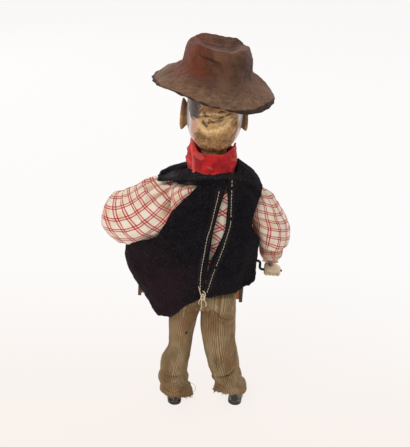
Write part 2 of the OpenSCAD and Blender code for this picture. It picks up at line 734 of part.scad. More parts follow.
// Right upper sleeve, hollow below so that the forearm slides in it
puff_foot_z = shoulder_z - 49;
puff_x = forearm_top[0];
puff_y = forearm_top[1];
puff_table_x = [[0, 0], [8, 0], [18, 2.6], [26, 7.6], [36, 12], [41, 15.5], [45, 18]];
puff_table_y = [[0, 0], [10, 1], [22, 5], [34, 9.5], [45, 12]];
puff_wide = [[0, 0.92], [3, 0.98], [10, 1], [17, 0.98], [26, 0.92], [34, 0.84], [41, 0.64], [45, 0.36]];
puff_deep = [[0, 0.95], [4, 1], [15, 0.99], [24, 0.86], [34, 0.62], [41, 0.42], [45, 0.26]];
puff_steps = [0, 2, 5, 9, 13, 17.5, 22, 26.5, 31, 35, 38.5, 41.5, 43.7, 45];
forearm_top_r = 6.6;
slide_gap = 0.6;

module puff_room() {
    top_z = forearm_top[2] + 2 * crank_r + slide_gap;
    step_z = puff_foot_z + 2 * crank_r + slide_gap;
    puff_slot(forearm_top_r + slide_gap, top_z);
    puff_slot(lower_puff_r + slide_gap, step_z);
}

// Slot that a round piece of radius r sweeps as the crank carries it round
module puff_slot(r, top_z) {
    half_d = crank_r + r;
    top_r = crank_r + slide_gap;
    intersection() {
        translate([puff_x - 20, puff_y, 0])
            rotate([90, 0, 90])
                linear_extrude(40) {
                    translate([-half_d, puff_foot_z - 1])
                        square([2 * half_d, top_z - top_r - puff_foot_z + 1]);
                    translate([-half_d + top_r, top_z - top_r - 1])
                        square([2 * (half_d - top_r), top_r + 1]);
                    for (side = [-1, 1])
                        translate([side * (half_d - top_r), top_z - top_r]) circle(r = top_r);
                }
        translate([puff_x, puff_y, puff_foot_z - 2])
            linear_extrude(60) {
                translate([-r, -crank_r]) square([2 * r, 2 * crank_r]);
                for (side = [-1, 1])
                    translate([0, side * crank_r]) circle(r = r);
            }
    }
}

module right_upper_sleeve() {
    cols = 30;
    function ring(h) = [for (c = [0:cols - 1]) let (a = 360 * c / cols,
        fold = 1 + 0.03 * cos(7 * a + 3 * h) * ramp(8, 0, h) + 0.025 * cos(5 * a + 40) * ramp(24, 40, h))
        [puff_x + curve(puff_table_x, h) + right_puff_half_w * curve(puff_wide, h) * fold * soft_cos(a, 2.3),
         puff_y + curve(puff_table_y, h) + right_puff_half_d * curve(puff_deep, h) * fold * soft_sin(a, 2.3),
         puff_foot_z + h]];
    placed() color("mistyrose") difference() {
        skin([for (h = puff_steps) ring(h)]);
        puff_room();
        right_arm_form(cloth_gap);
        body_block(shirt_room + shirt_t + cloth_gap, waist_z, shoulder_z + 4);
    }
}

// Wire of the right forearm, bent at the wrist and below its upper end
forearm_knee = [forearm_top[0], forearm_top[1] - 2, forearm_top[2] - 16];

module right_forearm_form(grow = 0) {
    r = arm_wire_d / 2 + grow;
    bar(grip_axis + grip_way * 4, right_wrist, r);
    bar(right_wrist, forearm_knee, r);
    bar(forearm_knee, forearm_top - [0, 0, 3 - grow], r);
    translate(right_wrist) sphere(r = r + joint_swell);
    translate(forearm_knee) sphere(r = r + joint_swell);
}

module right_forearm() {
    placed() color("gray") right_forearm_form();
}

// Lower sleeve, from the wrist up into the upper sleeve
cuff_at = right_wrist + (forearm_knee - right_wrist) * 0.28;
// Share of the way across to the forearm's top, so that what enters the upper sleeve stands upright
lower_path = [[0, 0], [0.12, 0.24], [0.3, 0.62], [0.46, 0.9], [0.6, 1], [1, 1]];
lower_widths = [[0, 4.4], [0.05, 5.8], [0.13, 4.8], [0.35, 7.2], [0.6, lower_puff_r], [0.78, lower_puff_r],
    [0.88, forearm_top_r], [0.97, forearm_top_r], [1, forearm_top_r - 1]];
lower_steps = [0, 0.05, 0.13, 0.22, 0.35, 0.48, 0.6, 0.7, 0.78, 0.88, 0.97, 1];
lower_cols = 24;

function lower_ring(s) = [
    for (c = [0:lower_cols - 1])
        let (a = 360 * c / lower_cols,
            across = curve(lower_path, s),
            r = curve(lower_widths, s) * (1 + 0.05 * cos(8 * a) * bell(s - 0.12, 0.14)),
            tilt = 0.6 * (1 - ramp(0, 0.6, s)))
        [mix(cuff_at[0], forearm_top[0], across) + r * cos(a),
         mix(cuff_at[1], forearm_top[1], across) + r * sin(a) * (1 - tilt * 0.2),
         mix(cuff_at[2], forearm_top[2], s) + r * sin(a) * tilt]];

module right_lower_sleeve() {
    placed() color("mistyrose") difference() {
        skin([for (s = lower_steps) lower_ring(s)]);
        skin(tube_rings([for (p = [right_wrist, forearm_knee, forearm_top - [0, 0, 3 - cloth_gap]])
            [p[0], p[1], p[2], (arm_wire_d + cloth_gap) / 2, 0]], 12));
    }
}

module right_hand() {
    finger_r = 1.4;
    count = 4;
    pitch = (hand_x0 - hand_x1 - 2 * finger_r) / (count - 1);
    curl = crank_d / 2 + fit_gap + finger_r - 0.1;
    placed() color("burlywood") difference() {
        union() {
            for (i = [0:count - 1])
                translate([hand_x1 + finger_r + i * pitch, crank_y, grip_z])
                    rotate([90, 0, 90])
                        rotate([0, 0, grip_angle - 20])
                            rotate_extrude(angle = -250)
                                translate([curl, 0]) circle(r = finger_r, $fn = 24);
            hull() {
                for (x = [hand_x1 + 2.4, hand_x0 - 2.4])
                    translate([x, crank_y, grip_z] + grip_way * 3.4) sphere(r = 2.4, $fn = 24);
                for (x = [-1.4, 1.4])
                    translate(right_wrist + [x, 0, 0]) sphere(r = 2.6, $fn = 24);
            }
            finger(
                [hand_x0 - 2, crank_y, grip_z] + grip_way * 6 + [0, -1, 1],
                [hand_x0 - 4.5, crank_y - 3.6, grip_z + 3.2], 1.5);
            bar_x(hand_x1 + 0.4, hand_x0 - 0.4, crank_y, grip_z, curl);
        }
        bar_x(hand_x1 - 5, hand_x0 + 5, crank_y, grip_z, crank_d / 2 + fit_gap);
        right_forearm_form();
    }
}

// Trousers, with folds where the cloth bunches over the shoes
leg_rows = 17;
leg_cols = 18;
left_leg_x = [
    [0, 14.5], [0.1, 17.2], [0.25, 18.4], [0.36, 17.1], [0.47, 15], [0.6, 14.7], [0.8, 14], [1, 12.5]];
left_leg_w = [
    [0, 9.6], [0.1, 10.6], [0.25, 10.2], [0.36, 9.7], [0.47, 8.5], [0.6, 8.8], [0.8, 9.6], [1, 11]];
right_leg_x = [[0, -24.4], [0.1, -23.8], [0.25, -19.8], [0.42, -16], [0.6, -13.2], [0.8, -11.5], [1, -11.2]];
right_leg_w = [[0, 8.8], [0.1, 9.6], [0.25, 11.2], [0.42, 12], [0.6, 11.8], [0.8, 11.6], [1, 11.2]];
leg_y = [[0, 2.6], [0.3, 2.4], [1, 3.2]];
leg_depth = [[0, 12], [0.12, 12.6], [0.25, 11.6], [0.6, 11.2], [1, 13]];
left_hem_z = 5.5;
right_hem_z = 9;
left_leg_lean = -0.5;
right_leg_lean = -4;

// Ring of one leg, with the cloth bunched low down and the hem lifted over the instep
function leg_ring(t, xs, ws, hem, lean, phase) = [
    for (c = [0:leg_cols - 1])
        let (a = 360 * c / leg_cols,
            low_bunch = 0.9 * sin(360 * t * 7 + 70 * cos(a + phase)) * ramp(0.36, 0.06, t),
            top_bunch = 0.5 * sin(360 * t * 4 + 60 * cos(a - phase)) * ramp(0.75, 0.98, t),
            crease = 0.9 * bell(sin((a - phase) / 2), 0.22) * ramp(0.9, 0.3, t),
            r = 1 + (low_bunch + top_bunch - crease) / 11,
            hem_lift = (6 * ramp(0.2, 1, -sin(a)) + 0.6 * sin(2 * a + phase)) * ramp(0.12, 0, t))
        [curve(xs, t) + curve(ws, t) * r * soft_cos(a, 2.3),
         curve(leg_y, t) + lean * (1 - t) + curve(leg_depth, t) * r * soft_sin(a, 2.3),
         mix(hem, hip_z + 7, t) + hem_lift]];

module trouser_leg(xs, ws, hem, lean, phase) {
    skin([for (i = [0:leg_rows]) leg_ring(i / leg_rows, xs, ws, hem, lean, phase)]);
}

// Room inside a hem for the shoe's heel
module hem_room(xs, ws, hem, lean) {
    top_z = 15;
    skin([for (t = [0, 0.04, 0.08])
        let (wide = ws[0][1] - 1.5, deep = leg_depth[0][1] - 1.5)
        [for (c = [0:leg_cols - 1]) let (a = 360 * c / leg_cols)
            [curve(xs, t) + wide * soft_cos(a, 2.3),
             curve(leg_y, t) + lean * (1 - t) + deep * soft_sin(a, 2.3),
             mix(0, top_z, t / 0.08)]]]);
}

module trousers() {
    leg_gap = 0.3;
    seat_cols = 28;
    seat_half_w = torso_w / 2 * 0.8 + 2.4;
    seat = [[-1.6, 0.9], [1, 0.97], [8, 1], [16, 0.97], [21.5, 0.95]];
    placed() color("#8b7a55") difference() {
        union() {
            trouser_leg(left_leg_x, left_leg_w, left_hem_z, left_leg_lean, 100);
            trouser_leg(right_leg_x, right_leg_w, right_hem_z, right_leg_lean, 40);
            skin([for (s = seat) [for (c = [0:seat_cols - 1]) let (a = 360 * c / seat_cols)
                [seat_half_w * s[1] * soft_cos(a, 2.8),
                 torso_y + (torso_d / 2 + 4) * s[1] * soft_sin(a, 2.8), hip_z + s[0]]]]);
        }
        body_block(0.2, hip_z, hip_z + 40);
        leg_form(left_hip, left_ankle, leg_gap);
        leg_form(right_hip, right_ankle, leg_gap);
        bracket_block(0.3);
        hem_room(left_leg_x, left_leg_w, left_hem_z, left_leg_lean);
        hem_room(right_leg_x, right_leg_w, right_hem_z, right_leg_lean);
        shoe_upper(left_heel, left_toe_out, cloth_gap, 0.7);
        shoe_upper(right_heel, right_toe_out, cloth_gap, 0.7);
    }
}

// Shoes, turned out a little, with a heel block under a lasted upper
left_heel = [15.6, 9.5, 0];
left_toe_out = 8;
right_heel = [-29, 4.5, 0];
right_toe_out = -5;

ball_at = 0.62;
function sole_half(s) =
    s < ball_at
        ? shoe_w * mix(0.36, 0.5, ramp(0, ball_at, s)) - 0.6 * bell(s - 0.28, 0.14)
        : shoe_w / 2 * sqrt(max(0, 1 - pow((s - ball_at) / (1 - ball_at), 2.2)));

// Outline of the sole, rounder on its inner side
module sole_outline() {
    heel = shoe_w * 0.36;
    function outward(s) = s > 0.3 && s < 0.9 ? 0.4 * sin(180 * (s - 0.3) / 0.6) : 0;
    polygon(concat(
        [for (i = [0:12]) let (a = 180 + 15 * i) [heel * cos(a), heel + heel * sin(a)]],
        [for (i = [0:16]) let (s = i / 16) [sole_half(s) + outward(s), mix(heel, shoe_len, s)]],
        [for (i = [15:-1:1]) let (s = i / 16) [-sole_half(s), mix(heel, shoe_len, s)]]));
}

upper_rise = [
    [0, 10.5], [0.12, 12.2], [0.3, 12.4], [0.42, 10.6], [0.6, 7.6], [0.8, 6.4], [0.94, 5], [1, 3.6]];
upper_wide = [
    [0, 0.42], [0.08, 0.62], [0.25, 0.72], [0.45, 0.82], [0.66, 0.98], [0.84, 0.9], [0.95, 0.62], [1, 0.34]];
upper_steps = [0, 0.04, 0.1, 0.2, 0.3, 0.4, 0.5, 0.6, 0.7, 0.8, 0.88, 0.94, 0.98, 1];
shoe_foot_z = sole_t + 0.8;

module shoe_upper(heel, turn, grow = 0, to_share = 1) {
    low = shoe_foot_z - 0.5 - grow;
    translate(heel) rotate([0, 0, 180 + turn])
        skin([for (s = upper_steps) if (s <= to_share)
            let (y = mix(0.7 - grow, shoe_len - 0.7 + grow, s),
                w = shoe_w / 2 * curve(upper_wide, s) - 0.3 + grow,
                h = curve(upper_rise, s) + grow)
            [for (c = [0:15]) let (a = 360 * c / 16)
                [-w * soft_cos(a, 2.4), y, low + (h - low) * (0.5 + 0.5 * soft_sin(a, 2.4))]]]);
}

module shoe(heel, turn, hip, ankle) {
    placed() color("#15130f") difference() {
        union() {
            translate(heel) rotate([0, 0, 180 + turn]) difference() {
                linear_extrude(shoe_foot_z) sole_outline();
                translate([-20, shoe_len * 0.32, -1]) cube([40, shoe_len * 0.16, 1.8]);
            }
            shoe_upper(heel, turn);
        }
        leg_tenons(hip, ankle);
        translate([-80, -60, ankle[2]]) cube([160, 120, 30]);
    }
}

module left_shoe() {
    shoe(left_heel, left_toe_out, left_hip, left_ankle);
}

module right_shoe() {
    shoe(right_heel, right_toe_out, right_hip, right_ankle);
}

// Organ case, a pinned box whose sides run down as feet
organ_foot_z = hip_z - 13;
organ_top_z = organ_foot_z + organ_h;
organ_x0 = organ_x - organ_w / 2;
organ_x1 = organ_x + organ_w / 2;
organ_y0 = organ_back_y - organ_d;
foot_h = 2;
side_proud = 1;
floor_z = organ_foot_z + foot_h + panel_t;
ceiling_z = organ_top_z - panel_t;
pin_rows = 3;
pin_deep = 8;

module panel_pin_forms() {
    for (side = [-1, 1], y = [organ_y0 + panel_t / 2, organ_back_y - panel_t / 2], i = [0:pin_rows - 1]) {
        z = mix(floor_z + 5, ceiling_z - 5, i / (pin_rows - 1));
        x = side < 0 ? organ_x0 : organ_x1;
        bar_x(min(x, x - side * pin_deep), max(x, x - side * pin_deep), y, z, pin_d / 2);
    }
}

module panel_pins() {
    placed() color("silver") panel_pin_forms();
}

module side_panel(x) {
    difference() {
        translate([x, organ_y0, organ_foot_z])
            cube([panel_t, organ_d + side_proud, organ_h - panel_t]);
        // The foot is cut away between a front and a back corner
        translate([x - 1, organ_y0 + 8, organ_foot_z - 1]) cube([panel_t + 2, organ_d - 15, 1 + foot_h]);
        panel_pin_forms();
        side_bush_forms(0);
    }
}

module organ_left_side() {
    placed() color("#5a3a22") side_panel(organ_x1 - panel_t);
}

module organ_right_side() {
    placed() color("#5a3a22") side_panel(organ_x0);
}

inner_w = organ_w - 2 * panel_t;

module organ_back() {
    placed() color("#c08448") difference() {
        translate([organ_x0 + panel_t, organ_back_y - panel_t, floor_z])
            cube([inner_w, panel_t, ceiling_z - floor_z]);
        panel_pin_forms();
        bracket_screw_shanks();
    }
}

arch_w = 56;
arch_foot = 8;
arch_h = 20;

module arch_outline(grow = 0) {
    rise = arch_w * 0.22;
    r = (pow(arch_w / 2, 2) + rise * rise) / (2 * rise);
    intersection() {
        translate([-arch_w / 2 - grow, -grow]) square([arch_w + 2 * grow, arch_h + rise + 2 * grow]);
        translate([0, arch_h + rise - r]) circle(r = r + grow, $fn = 160);
    }
}

module organ_front() {
    placed() color("#8a4a28") difference() {
        translate([organ_x0 + panel_t, organ_y0, floor_z]) cube([inner_w, panel_t, ceiling_z - floor_z]);
        translate([organ_x, organ_y0 + panel_t + 1, floor_z + arch_foot])
            rotate([90, 0, 0])
                linear_extrude(panel_t + 2) arch_outline();
        panel_pin_forms();
    }
}

// Row of small wooden pipes behind the arched opening
pipe_count = 9;
pipe_d = 5.6;

module organ_pipes() {
    back_y = organ_y0 + panel_t;
    board_t = 1;
    placed() color("#d8b25a") difference() {
        union() {
            translate([organ_x - inner_w / 2, back_y, floor_z])
                cube([inner_w, board_t, ceiling_z - floor_z]);
            for (i = [0:pipe_count - 1]) {
                k = i - (pipe_count - 1) / 2;
                h = arch_h + 7 - abs(k) * 1.7;
                translate([organ_x + k * (pipe_d + 0.3), back_y, floor_z + arch_foot + 0.4]) {
                    intersection() {
                        cylinder(d = pipe_d, h = h);
                        translate([-pipe_d, -pipe_d, 0]) cube([2 * pipe_d, pipe_d + board_t / 2, h]);
                    }
                }
            }
        }
        for (i = [0:pipe_count - 1]) {
            k = i - (pipe_count - 1) / 2;
            translate([
                organ_x + k * (pipe_d + 0.3) - pipe_d * 0.28, back_y - pipe_d, floor_z + arch_foot + 4])
                cube([pipe_d * 0.56, pipe_d - 1.6, 1.6]);
        }
    }
}

module organ_base() {
    placed() color("#c08448") difference() {
        translate([organ_x0 + panel_t, organ_y0, organ_foot_z + foot_h]) cube([inner_w, organ_d, panel_t]);
        foot_screw_forms(1.2, 1);
    }
}

module organ_lid() {
    placed() color("#5a3a22")
        translate([organ_x0 - lid_lip, organ_y0 - lid_lip, ceiling_z])
            cube([organ_w + 2 * lid_lip, organ_d + lid_lip + side_proud, panel_t]);
}

module organ_bracket() {
    placed() color("tan") difference() {
        bracket_block();
        bracket_screw_shanks();
    }
}

bracket_screw_d = 2;

module bracket_screw_shanks() {
    for (side = [-1, 1])
        translate([bracket_x + side * bracket_w * 0.32, organ_back_y - panel_t, bracket_z + bracket_h / 2])
            rotate([-90, 0, 0])
                cylinder(d = bracket_screw_d, h = panel_t + (torso_front_y - organ_back_y) + 10);
}

module bracket_screws() {
    placed() color("silver") {
        bracket_screw_shanks();
        for (side = [-1, 1])
            translate([
                bracket_x + side * bracket_w * 0.32, organ_back_y - panel_t, bracket_z + bracket_h / 2])
                rotate([90, 0, 0])
                    difference() {
                        cylinder(d1 = bracket_screw_d * 2, d2 = bracket_screw_d * 1.4, h = 1.1);
                        translate([-3, -0.3, 0.6]) cube([6, 0.6, 1]);
                    }
    }
}

// Gear train between the plates, in the plane across X
right_plate_x = organ_x0 + panel_t + 1.2;
train_x0 = right_plate_x + plate_t;
train_x1 = train_x0 + plate_gap;
great_r = gear_module * great_teeth / 2;
crank_pinion_r = gear_module * crank_pinion_teeth / 2;
crank_wheel_r = gear_module * crank_wheel_teeth / 2;
third_r = gear_module * third_teeth / 2;
small_pinion_r = gear_module * small_pinion_teeth / 2;
great_to_crank = 45;
crank_to_third = 95;
third_to_fly = 180;
crank_at = [crank_y, crank_z];
great_at = crank_at - (great_r + crank_pinion_r) * [cos(great_to_crank), sin(great_to_crank)];
third_at = crank_at + (crank_wheel_r + small_pinion_r) * [cos(crank_to_third), sin(crank_to_third)];
fly_at = third_at + (third_r + small_pinion_r) * [cos(third_to_fly), sin(third_to_fly)];
pressure = 25;
tooth_slack = 0.07;
great_x = train_x0 + 0.6;
crank_wheel_x = train_x1 - 3;
third_wheel_x = train_x1 - 6.4;
fly_x = train_x0 + 3;
fly_len = 10;
fly_r = 7.6;

function involute(a) = tan(a) * 180 / PI - a;
function tooth_half(teeth, r) =
    let (pitch_r = gear_module * teeth / 2, base_r = pitch_r * cos(pressure))
    90 / teeth - tooth_slack / pitch_r * 180 / PI + involute(pressure)
        - involute(acos(min(1, base_r / max(r, base_r))));

// Gear outline with involute flanks; a tooth stands at the angle phase
module gear_outline(teeth, phase) {
    pitch_r = gear_module * teeth / 2;
    root_r = pitch_r - 1.15 * gear_module;
    tip_r = pitch_r + 0.8 * gear_module;
    flank = [root_r, mix(root_r, pitch_r, 0.5), pitch_r, mix(pitch_r, tip_r, 0.5), tip_r];
    polygon([for (i = [0:teeth - 1])
        let (mid = phase + 360 * i / teeth)
        each concat(
            [for (r = flank) let (a = mid - tooth_half(teeth, r)) r * [cos(a), sin(a)]],
            [for (k = [len(flank) - 1:-1:0])
                let (r = flank[k], a = mid + tooth_half(teeth, r)) r * [cos(a), sin(a)]])]);
}

module gear(teeth, phase, at, x0, t, bore_d, holes = 0, hub_d = 0, hub_t = 0) {
    pitch_r = gear_module * teeth / 2;
    translate([0, at[0], at[1]]) difference() {
        union() {
            slab_x(x0, t) gear_outline(teeth, phase);
            if (hub_t != 0)
                bar_x(min(x0, x0 + t + hub_t), max(x0 + t, x0 + hub_t), 0, 0, hub_d / 2);
        }
        bar_x(x0 - 10, x0 + t + 10, 0, 0, bore_d / 2);
        if (holes > 0)
            for (i = [0:holes - 1])
                rotate([360 * (i + 0.5) / holes, 0, 0])
                    bar_x(x0 - 1, x0 + t + 1, pitch_r * 0.6, 0, pitch_r * 0.2);
    }
}

// Pinion a little wider than the wheel that drives it, with a gap between teeth towards that wheel
module pinion(teeth, from_wheel, at, wheel_x, t, bore_d) {
    beyond = 0.4;
    gear(teeth, from_wheel + 180 + 180 / teeth, at, wheel_x - beyond, t + 2 * beyond, bore_d);
}

module great_wheel() {
    placed() color("#b8923a") {
        gear(great_teeth, great_to_crank, great_at, great_x, wheel_t, winding_d, holes = 6);
        click_stud();
    }
}

click_out = 7.6;
click_turn = 180;
click_at = great_at + click_out * [cos(click_turn), sin(click_turn)];
ratchet_x = great_x + wheel_t;
ratchet_t = 1.2;
ratchet_r = 5;
ratchet_teeth = 12;

module click_stud() {
    bar_x(great_x + wheel_t, ratchet_x + ratchet_t + 0.4, click_at[0], click_at[1], 0.7);
}

module ratchet_wheel() {
    placed() color("#9a9a9a")
        translate([0, great_at[0], great_at[1]]) difference() {
            slab_x(ratchet_x, ratchet_t)
                polygon([for (i = [0:ratchet_teeth - 1]) let (a = 360 * i / ratchet_teeth + click_turn - 8)
                    each [ratchet_r * [cos(a), sin(a)], (ratchet_r - 1) * [cos(a + 2), sin(a + 2)]]]);
            bar_x(ratchet_x - 1, ratchet_x + ratchet_t + 1, 0, 0, winding_d / 2);
        }
}

// The click hooks on a ratchet tooth from its stud on the great wheel
module click() {
    along = click_turn + 90;
    placed() color("#8a8a8a")
        translate([0, great_at[0], great_at[1]]) difference() {
            slab_x(ratchet_x, ratchet_t)
                translate(click_at - great_at) {
                    circle(r = 1.5);
                    rotate(along + 25)
                        polygon([[0, -1.3], [5.2, 0.9], [5.4, 1.5], [0, 1.3]]);
                }
            translate([0, click_at[0] - great_at[0], click_at[1] - great_at[1]])
                bar_x(ratchet_x - 1, ratchet_x + ratchet_t + 1, 0, 0, 0.7 + fit_gap);
            bar_x(ratchet_x - 1, ratchet_x + ratchet_t + 1, 0, 0, ratchet_r + 0.1);
        }
}

module click_spring() {
    r0 = 10.1;
    placed() color("#707070")
        translate([ratchet_x, great_at[0], great_at[1]])
            rotate([0, 90, 0])
                rotate([0, 0, 90])
                    rotate([0, 0, click_turn + 4])
                        rotate_extrude(angle = 70)
                            translate([r0, 0]) square([0.3, 0.8]);
}

// Mainspring, wound round its arbor and looped over a pillar
pillar_at = [
    [organ_y0 + panel_t + 3.2, floor_z + 2.8],
    [organ_back_y - panel_t - 4, floor_z + 4],
    [organ_back_y - panel_t - 4, ceiling_z - 4.6],
    [organ_y0 + panel_t + 3.6, ceiling_z - 4.6]];
spring_x0 = ratchet_x + ratchet_t + 1;
spring_w = crank_wheel_x - 1 - spring_x0;
spring_r0 = winding_d / 2 + 0.02;
spring_r1 = great_r - 1;
spring_steps = 24;

module mainspring() {
    loop_r = pillar_d / 2;
    to_pillar = pillar_at[0] - great_at;
    end_a = atan2(to_pillar[1], to_pillar[0]);
    total = spring_turns * 360;
    count = spring_turns * spring_steps;
    tail_r = norm(to_pillar) - loop_r - spring_t / 2;
    function spiral(i, out) =
        let (r = mix(spring_r0, spring_r1, i / count) + out, a = total * (i / count - 1))
        [r * cos(a), r * sin(a)];
    placed() color("#4d5566")
        translate([0, great_at[0], great_at[1]]) difference() {
            union() {
                slab_x(spring_x0, spring_w) rotate(end_a)
                    polygon(concat(
                        [for (i = [0:count]) spiral(i, 0)],
                        [[spring_r1, spring_t], [tail_r, spring_t], [tail_r, 0]],
                        [for (i = [count:-1:0]) spiral(i, spring_t)]));
                bar_x(spring_x0, spring_x0 + spring_w, to_pillar[0], to_pillar[1], loop_r + spring_t);
            }
            bar_x(spring_x0 - 1, spring_x0 + spring_w + 1, to_pillar[0], to_pillar[1], loop_r);
        }
}

winding_end_x = organ_x1 - 0.4;

module winding_arbor() {
    square_len = 6;
    square_half = winding_d * 0.35;
    placed() color("#8d8d8d") {
        bar_x(right_plate_x - 0.5, winding_end_x - square_len, great_at[0], great_at[1], winding_d / 2);
        translate([winding_end_x - square_len, great_at[0] - square_half, great_at[1] - square_half])
            cube([square_len, 2 * square_half, 2 * square_half]);
    }
}

// Crank, one bent wire that is also the second arbor
arm_x = -41;
bend_r = 2.2;
handle_end_x = -58;

module crank_bend(from_angle) {
    rotate([90, 0, 0])
        rotate([0, 0, from_angle])
            rotate_extrude(angle = 90)
                translate([bend_r, 0]) circle(d = crank_d);
}

module crank() {
    r = crank_d / 2;
    placed() color("#3a3a36") translate([0, crank_y, crank_z]) {
        bar_x(arm_x + bend_r, train_x1 + plate_t + 0.6, 0, 0, r);
        translate([arm_x + bend_r, 0, -bend_r]) crank_bend(90);
        translate([arm_x, 0, -crank_r + bend_r]) cylinder(r = r, h = crank_r - 2 * bend_r);
        translate([arm_x - bend_r, 0, -crank_r + bend_r]) crank_bend(-90);
        bar_x(handle_end_x + r, arm_x - bend_r, 0, -crank_r, r);
        translate([handle_end_x + r, 0, -crank_r]) sphere(r = r);
    }
}

module crank_pinion() {
    placed() color("#b8923a")
        pinion(crank_pinion_teeth, great_to_crank, crank_at, great_x, wheel_t, crank_d);
}

module crank_wheel() {
    placed() color("#b8923a")
        gear(
            crank_wheel_teeth, crank_to_third, crank_at, crank_wheel_x, wheel_t, crank_d,
            holes = 5, hub_d = 5, hub_t = -1);
}

module third_pinion() {
    placed() color("#b8923a")
        pinion(small_pinion_teeth, crank_to_third, third_at, crank_wheel_x, wheel_t, arbor_d);
}

module third_wheel() {
    placed() color("#b8923a")
        gear(
            third_teeth, third_to_fly, third_at, third_wheel_x, wheel_t * 0.7, arbor_d,
            holes = 5, hub_d = 4, hub_t = 1);
}

module fly_pinion() {
    placed() color("#b8923a")
        pinion(small_pinion_teeth, third_to_fly, fly_at, third_wheel_x, wheel_t * 0.7, arbor_d);
}

module small_arbor(at) {
    bar_x(right_plate_x - 0.5, train_x1 + plate_t + 0.5, at[0], at[1], arbor_d / 2);
}

module third_arbor() {
    placed() color("#8d8d8d") small_arbor(third_at);
}

module fly_arbor() {
    placed() color("#8d8d8d") small_arbor(fly_at);
}

module fly() {
    blade_t = 0.5;
    placed() color("#b8923a") translate([fly_x, fly_at[0], fly_at[1]]) difference() {
        union() {
            rotate([0, 90, 0]) cylinder(d = arbor_d + 1.6, h = fly_len);
            for (side = [0, 180])
                rotate([side + 25, 0, 0])
                    translate([0.6, 0, -blade_t / 2]) cube([fly_len - 1.2, fly_r, blade_t]);
        }
        translate([-1, 0, 0]) rotate([0, 90, 0]) cylinder(d = arbor_d, h = fly_len + 2);
    }
}

// Plates, each with a bent foot on the organ's floor
foot_w = 6;
plate_y0 = organ_y0 + panel_t + 1.4;
plate_y1 = organ_back_y - panel_t - 1.2;

module plate_outline() {
    top_z = ceiling_z - 1;
    corner = 3;
    difference() {
        union() {
            translate([plate_y0, floor_z]) square([plate_y1 - plate_y0, top_z - corner - floor_z]);
            translate([plate_y0 + corner, floor_z])
                square([plate_y1 - plate_y0 - 2 * corner, top_z - floor_z]);
            for (y = [plate_y0 + corner, plate_y1 - corner])
                translate([y, top_z - corner]) circle(r = corner);
        }
        // Window that lightens the plate and shows the wheels
        translate([plate_y1 - 10.5, floor_z + 12]) circle(r = 3.6);
        translate([plate_y0 + 7.5, mix(floor_z, top_z, 0.62)]) circle(r = 3.2);
    }
}

function foot_screw_x() = [right_plate_x - 0.4 + plate_t + 4, train_x1 + plate_t + 3.2];

module foot_screw_forms(head_d, head_h) {
    for (x = foot_screw_x(), y = [plate_y0 + 12, plate_y1 - 4]) {
        translate([x, y, floor_z - 2]) cylinder(d = 1.2, h = 2 + plate_t);
        translate([x, y, floor_z + plate_t]) cylinder(d = head_d, h = head_h);
    }
}

foot_y0 = plate_y0 + 5;
great_room = great_r + gear_module;

module plate(x) {
    difference() {
        union() {
            slab_x(x, plate_t) plate_outline();
            translate([x, foot_y0, floor_z]) cube([foot_w, plate_y1 - foot_y0, plate_t]);
        }
        bar_x(train_x0, ratchet_x + 0.4, great_at[0], great_at[1], great_room);
        bar_x(x - 1, x + plate_t + 1, great_at[0], great_at[1], winding_d / 2 + fit_gap);
        bar_x(x - 1, x + plate_t + 1, crank_at[0], crank_at[1], crank_d / 2 + fit_gap);
        bar_x(x - 1, x + plate_t + 1, third_at[0], third_at[1], arbor_d / 2 + fit_gap);
        bar_x(x - 1, x + plate_t + 1, fly_at[0], fly_at[1], arbor_d / 2 + fit_gap);
        for (p = pillar_at)
            bar_x(x - 1, x + plate_t + 1, p[0], p[1], 0.8);
        foot_screw_forms(1.2, 1);
    }
}

module right_plate() {
    placed() color("#c9a85a") plate(right_plate_x);
}

module left_plate() {
    placed() color("#c9a85a") plate(train_x1);
}

module pillars() {
    placed() color("#a08040")
        for (p = pillar_at)
            difference() {
                bar_x(train_x0, train_x1, p[0], p[1], pillar_d / 2);
                bar_x(train_x0 - 1, train_x0 + 3, p[0], p[1], 0.8);
                bar_x(train_x1 - 3, train_x1 + 1, p[0], p[1], 0.8);
            }
}

// Screws of the pillars and of the plates' feet
module pillar_screws() {
    head_h = 0.7;
    placed() color("silver") {
        for (p = pillar_at) {
            bar_x(right_plate_x, train_x0 + 3, p[0], p[1], 0.8);
            bar_x(right_plate_x - head_h, right_plate_x, p[0], p[1], 1.5);
            bar_x(train_x1 - 3, train_x1 + plate_t, p[0], p[1], 0.8);
            bar_x(train_x1 + plate_t, train_x1 + plate_t + head_h, p[0], p[1], 1.5);
        }
        foot_screw_forms(2.4, 0.7);
    }
}

// Bushes in the sides, for the crank and for the winding square
bush_lip = 0.7;

module side_bush_forms(lip) {
    bar_x(organ_x0 - lip, organ_x0 + panel_t, crank_at[0], crank_at[1], crank_d / 2 + 1.4);
    bar_x(organ_x1 - panel_t, organ_x1, great_at[0], great_at[1], winding_d / 2 + 1.4);
}

module side_bushes() {
    placed() color("#b8923a") difference() {
        union() {
            side_bush_forms(0);
            bar_x(organ_x0 - bush_lip, organ_x0, crank_at[0], crank_at[1], crank_d / 2 + 2.4);
        }
        bar_x(organ_x0 - 5, organ_x0 + panel_t + 1, crank_at[0], crank_at[1], crank_d / 2 + fit_gap);
        bar_x(organ_x1 - panel_t - 1, organ_x1 + 1, great_at[0], great_at[1], winding_d / 2 + fit_gap);
    }
}

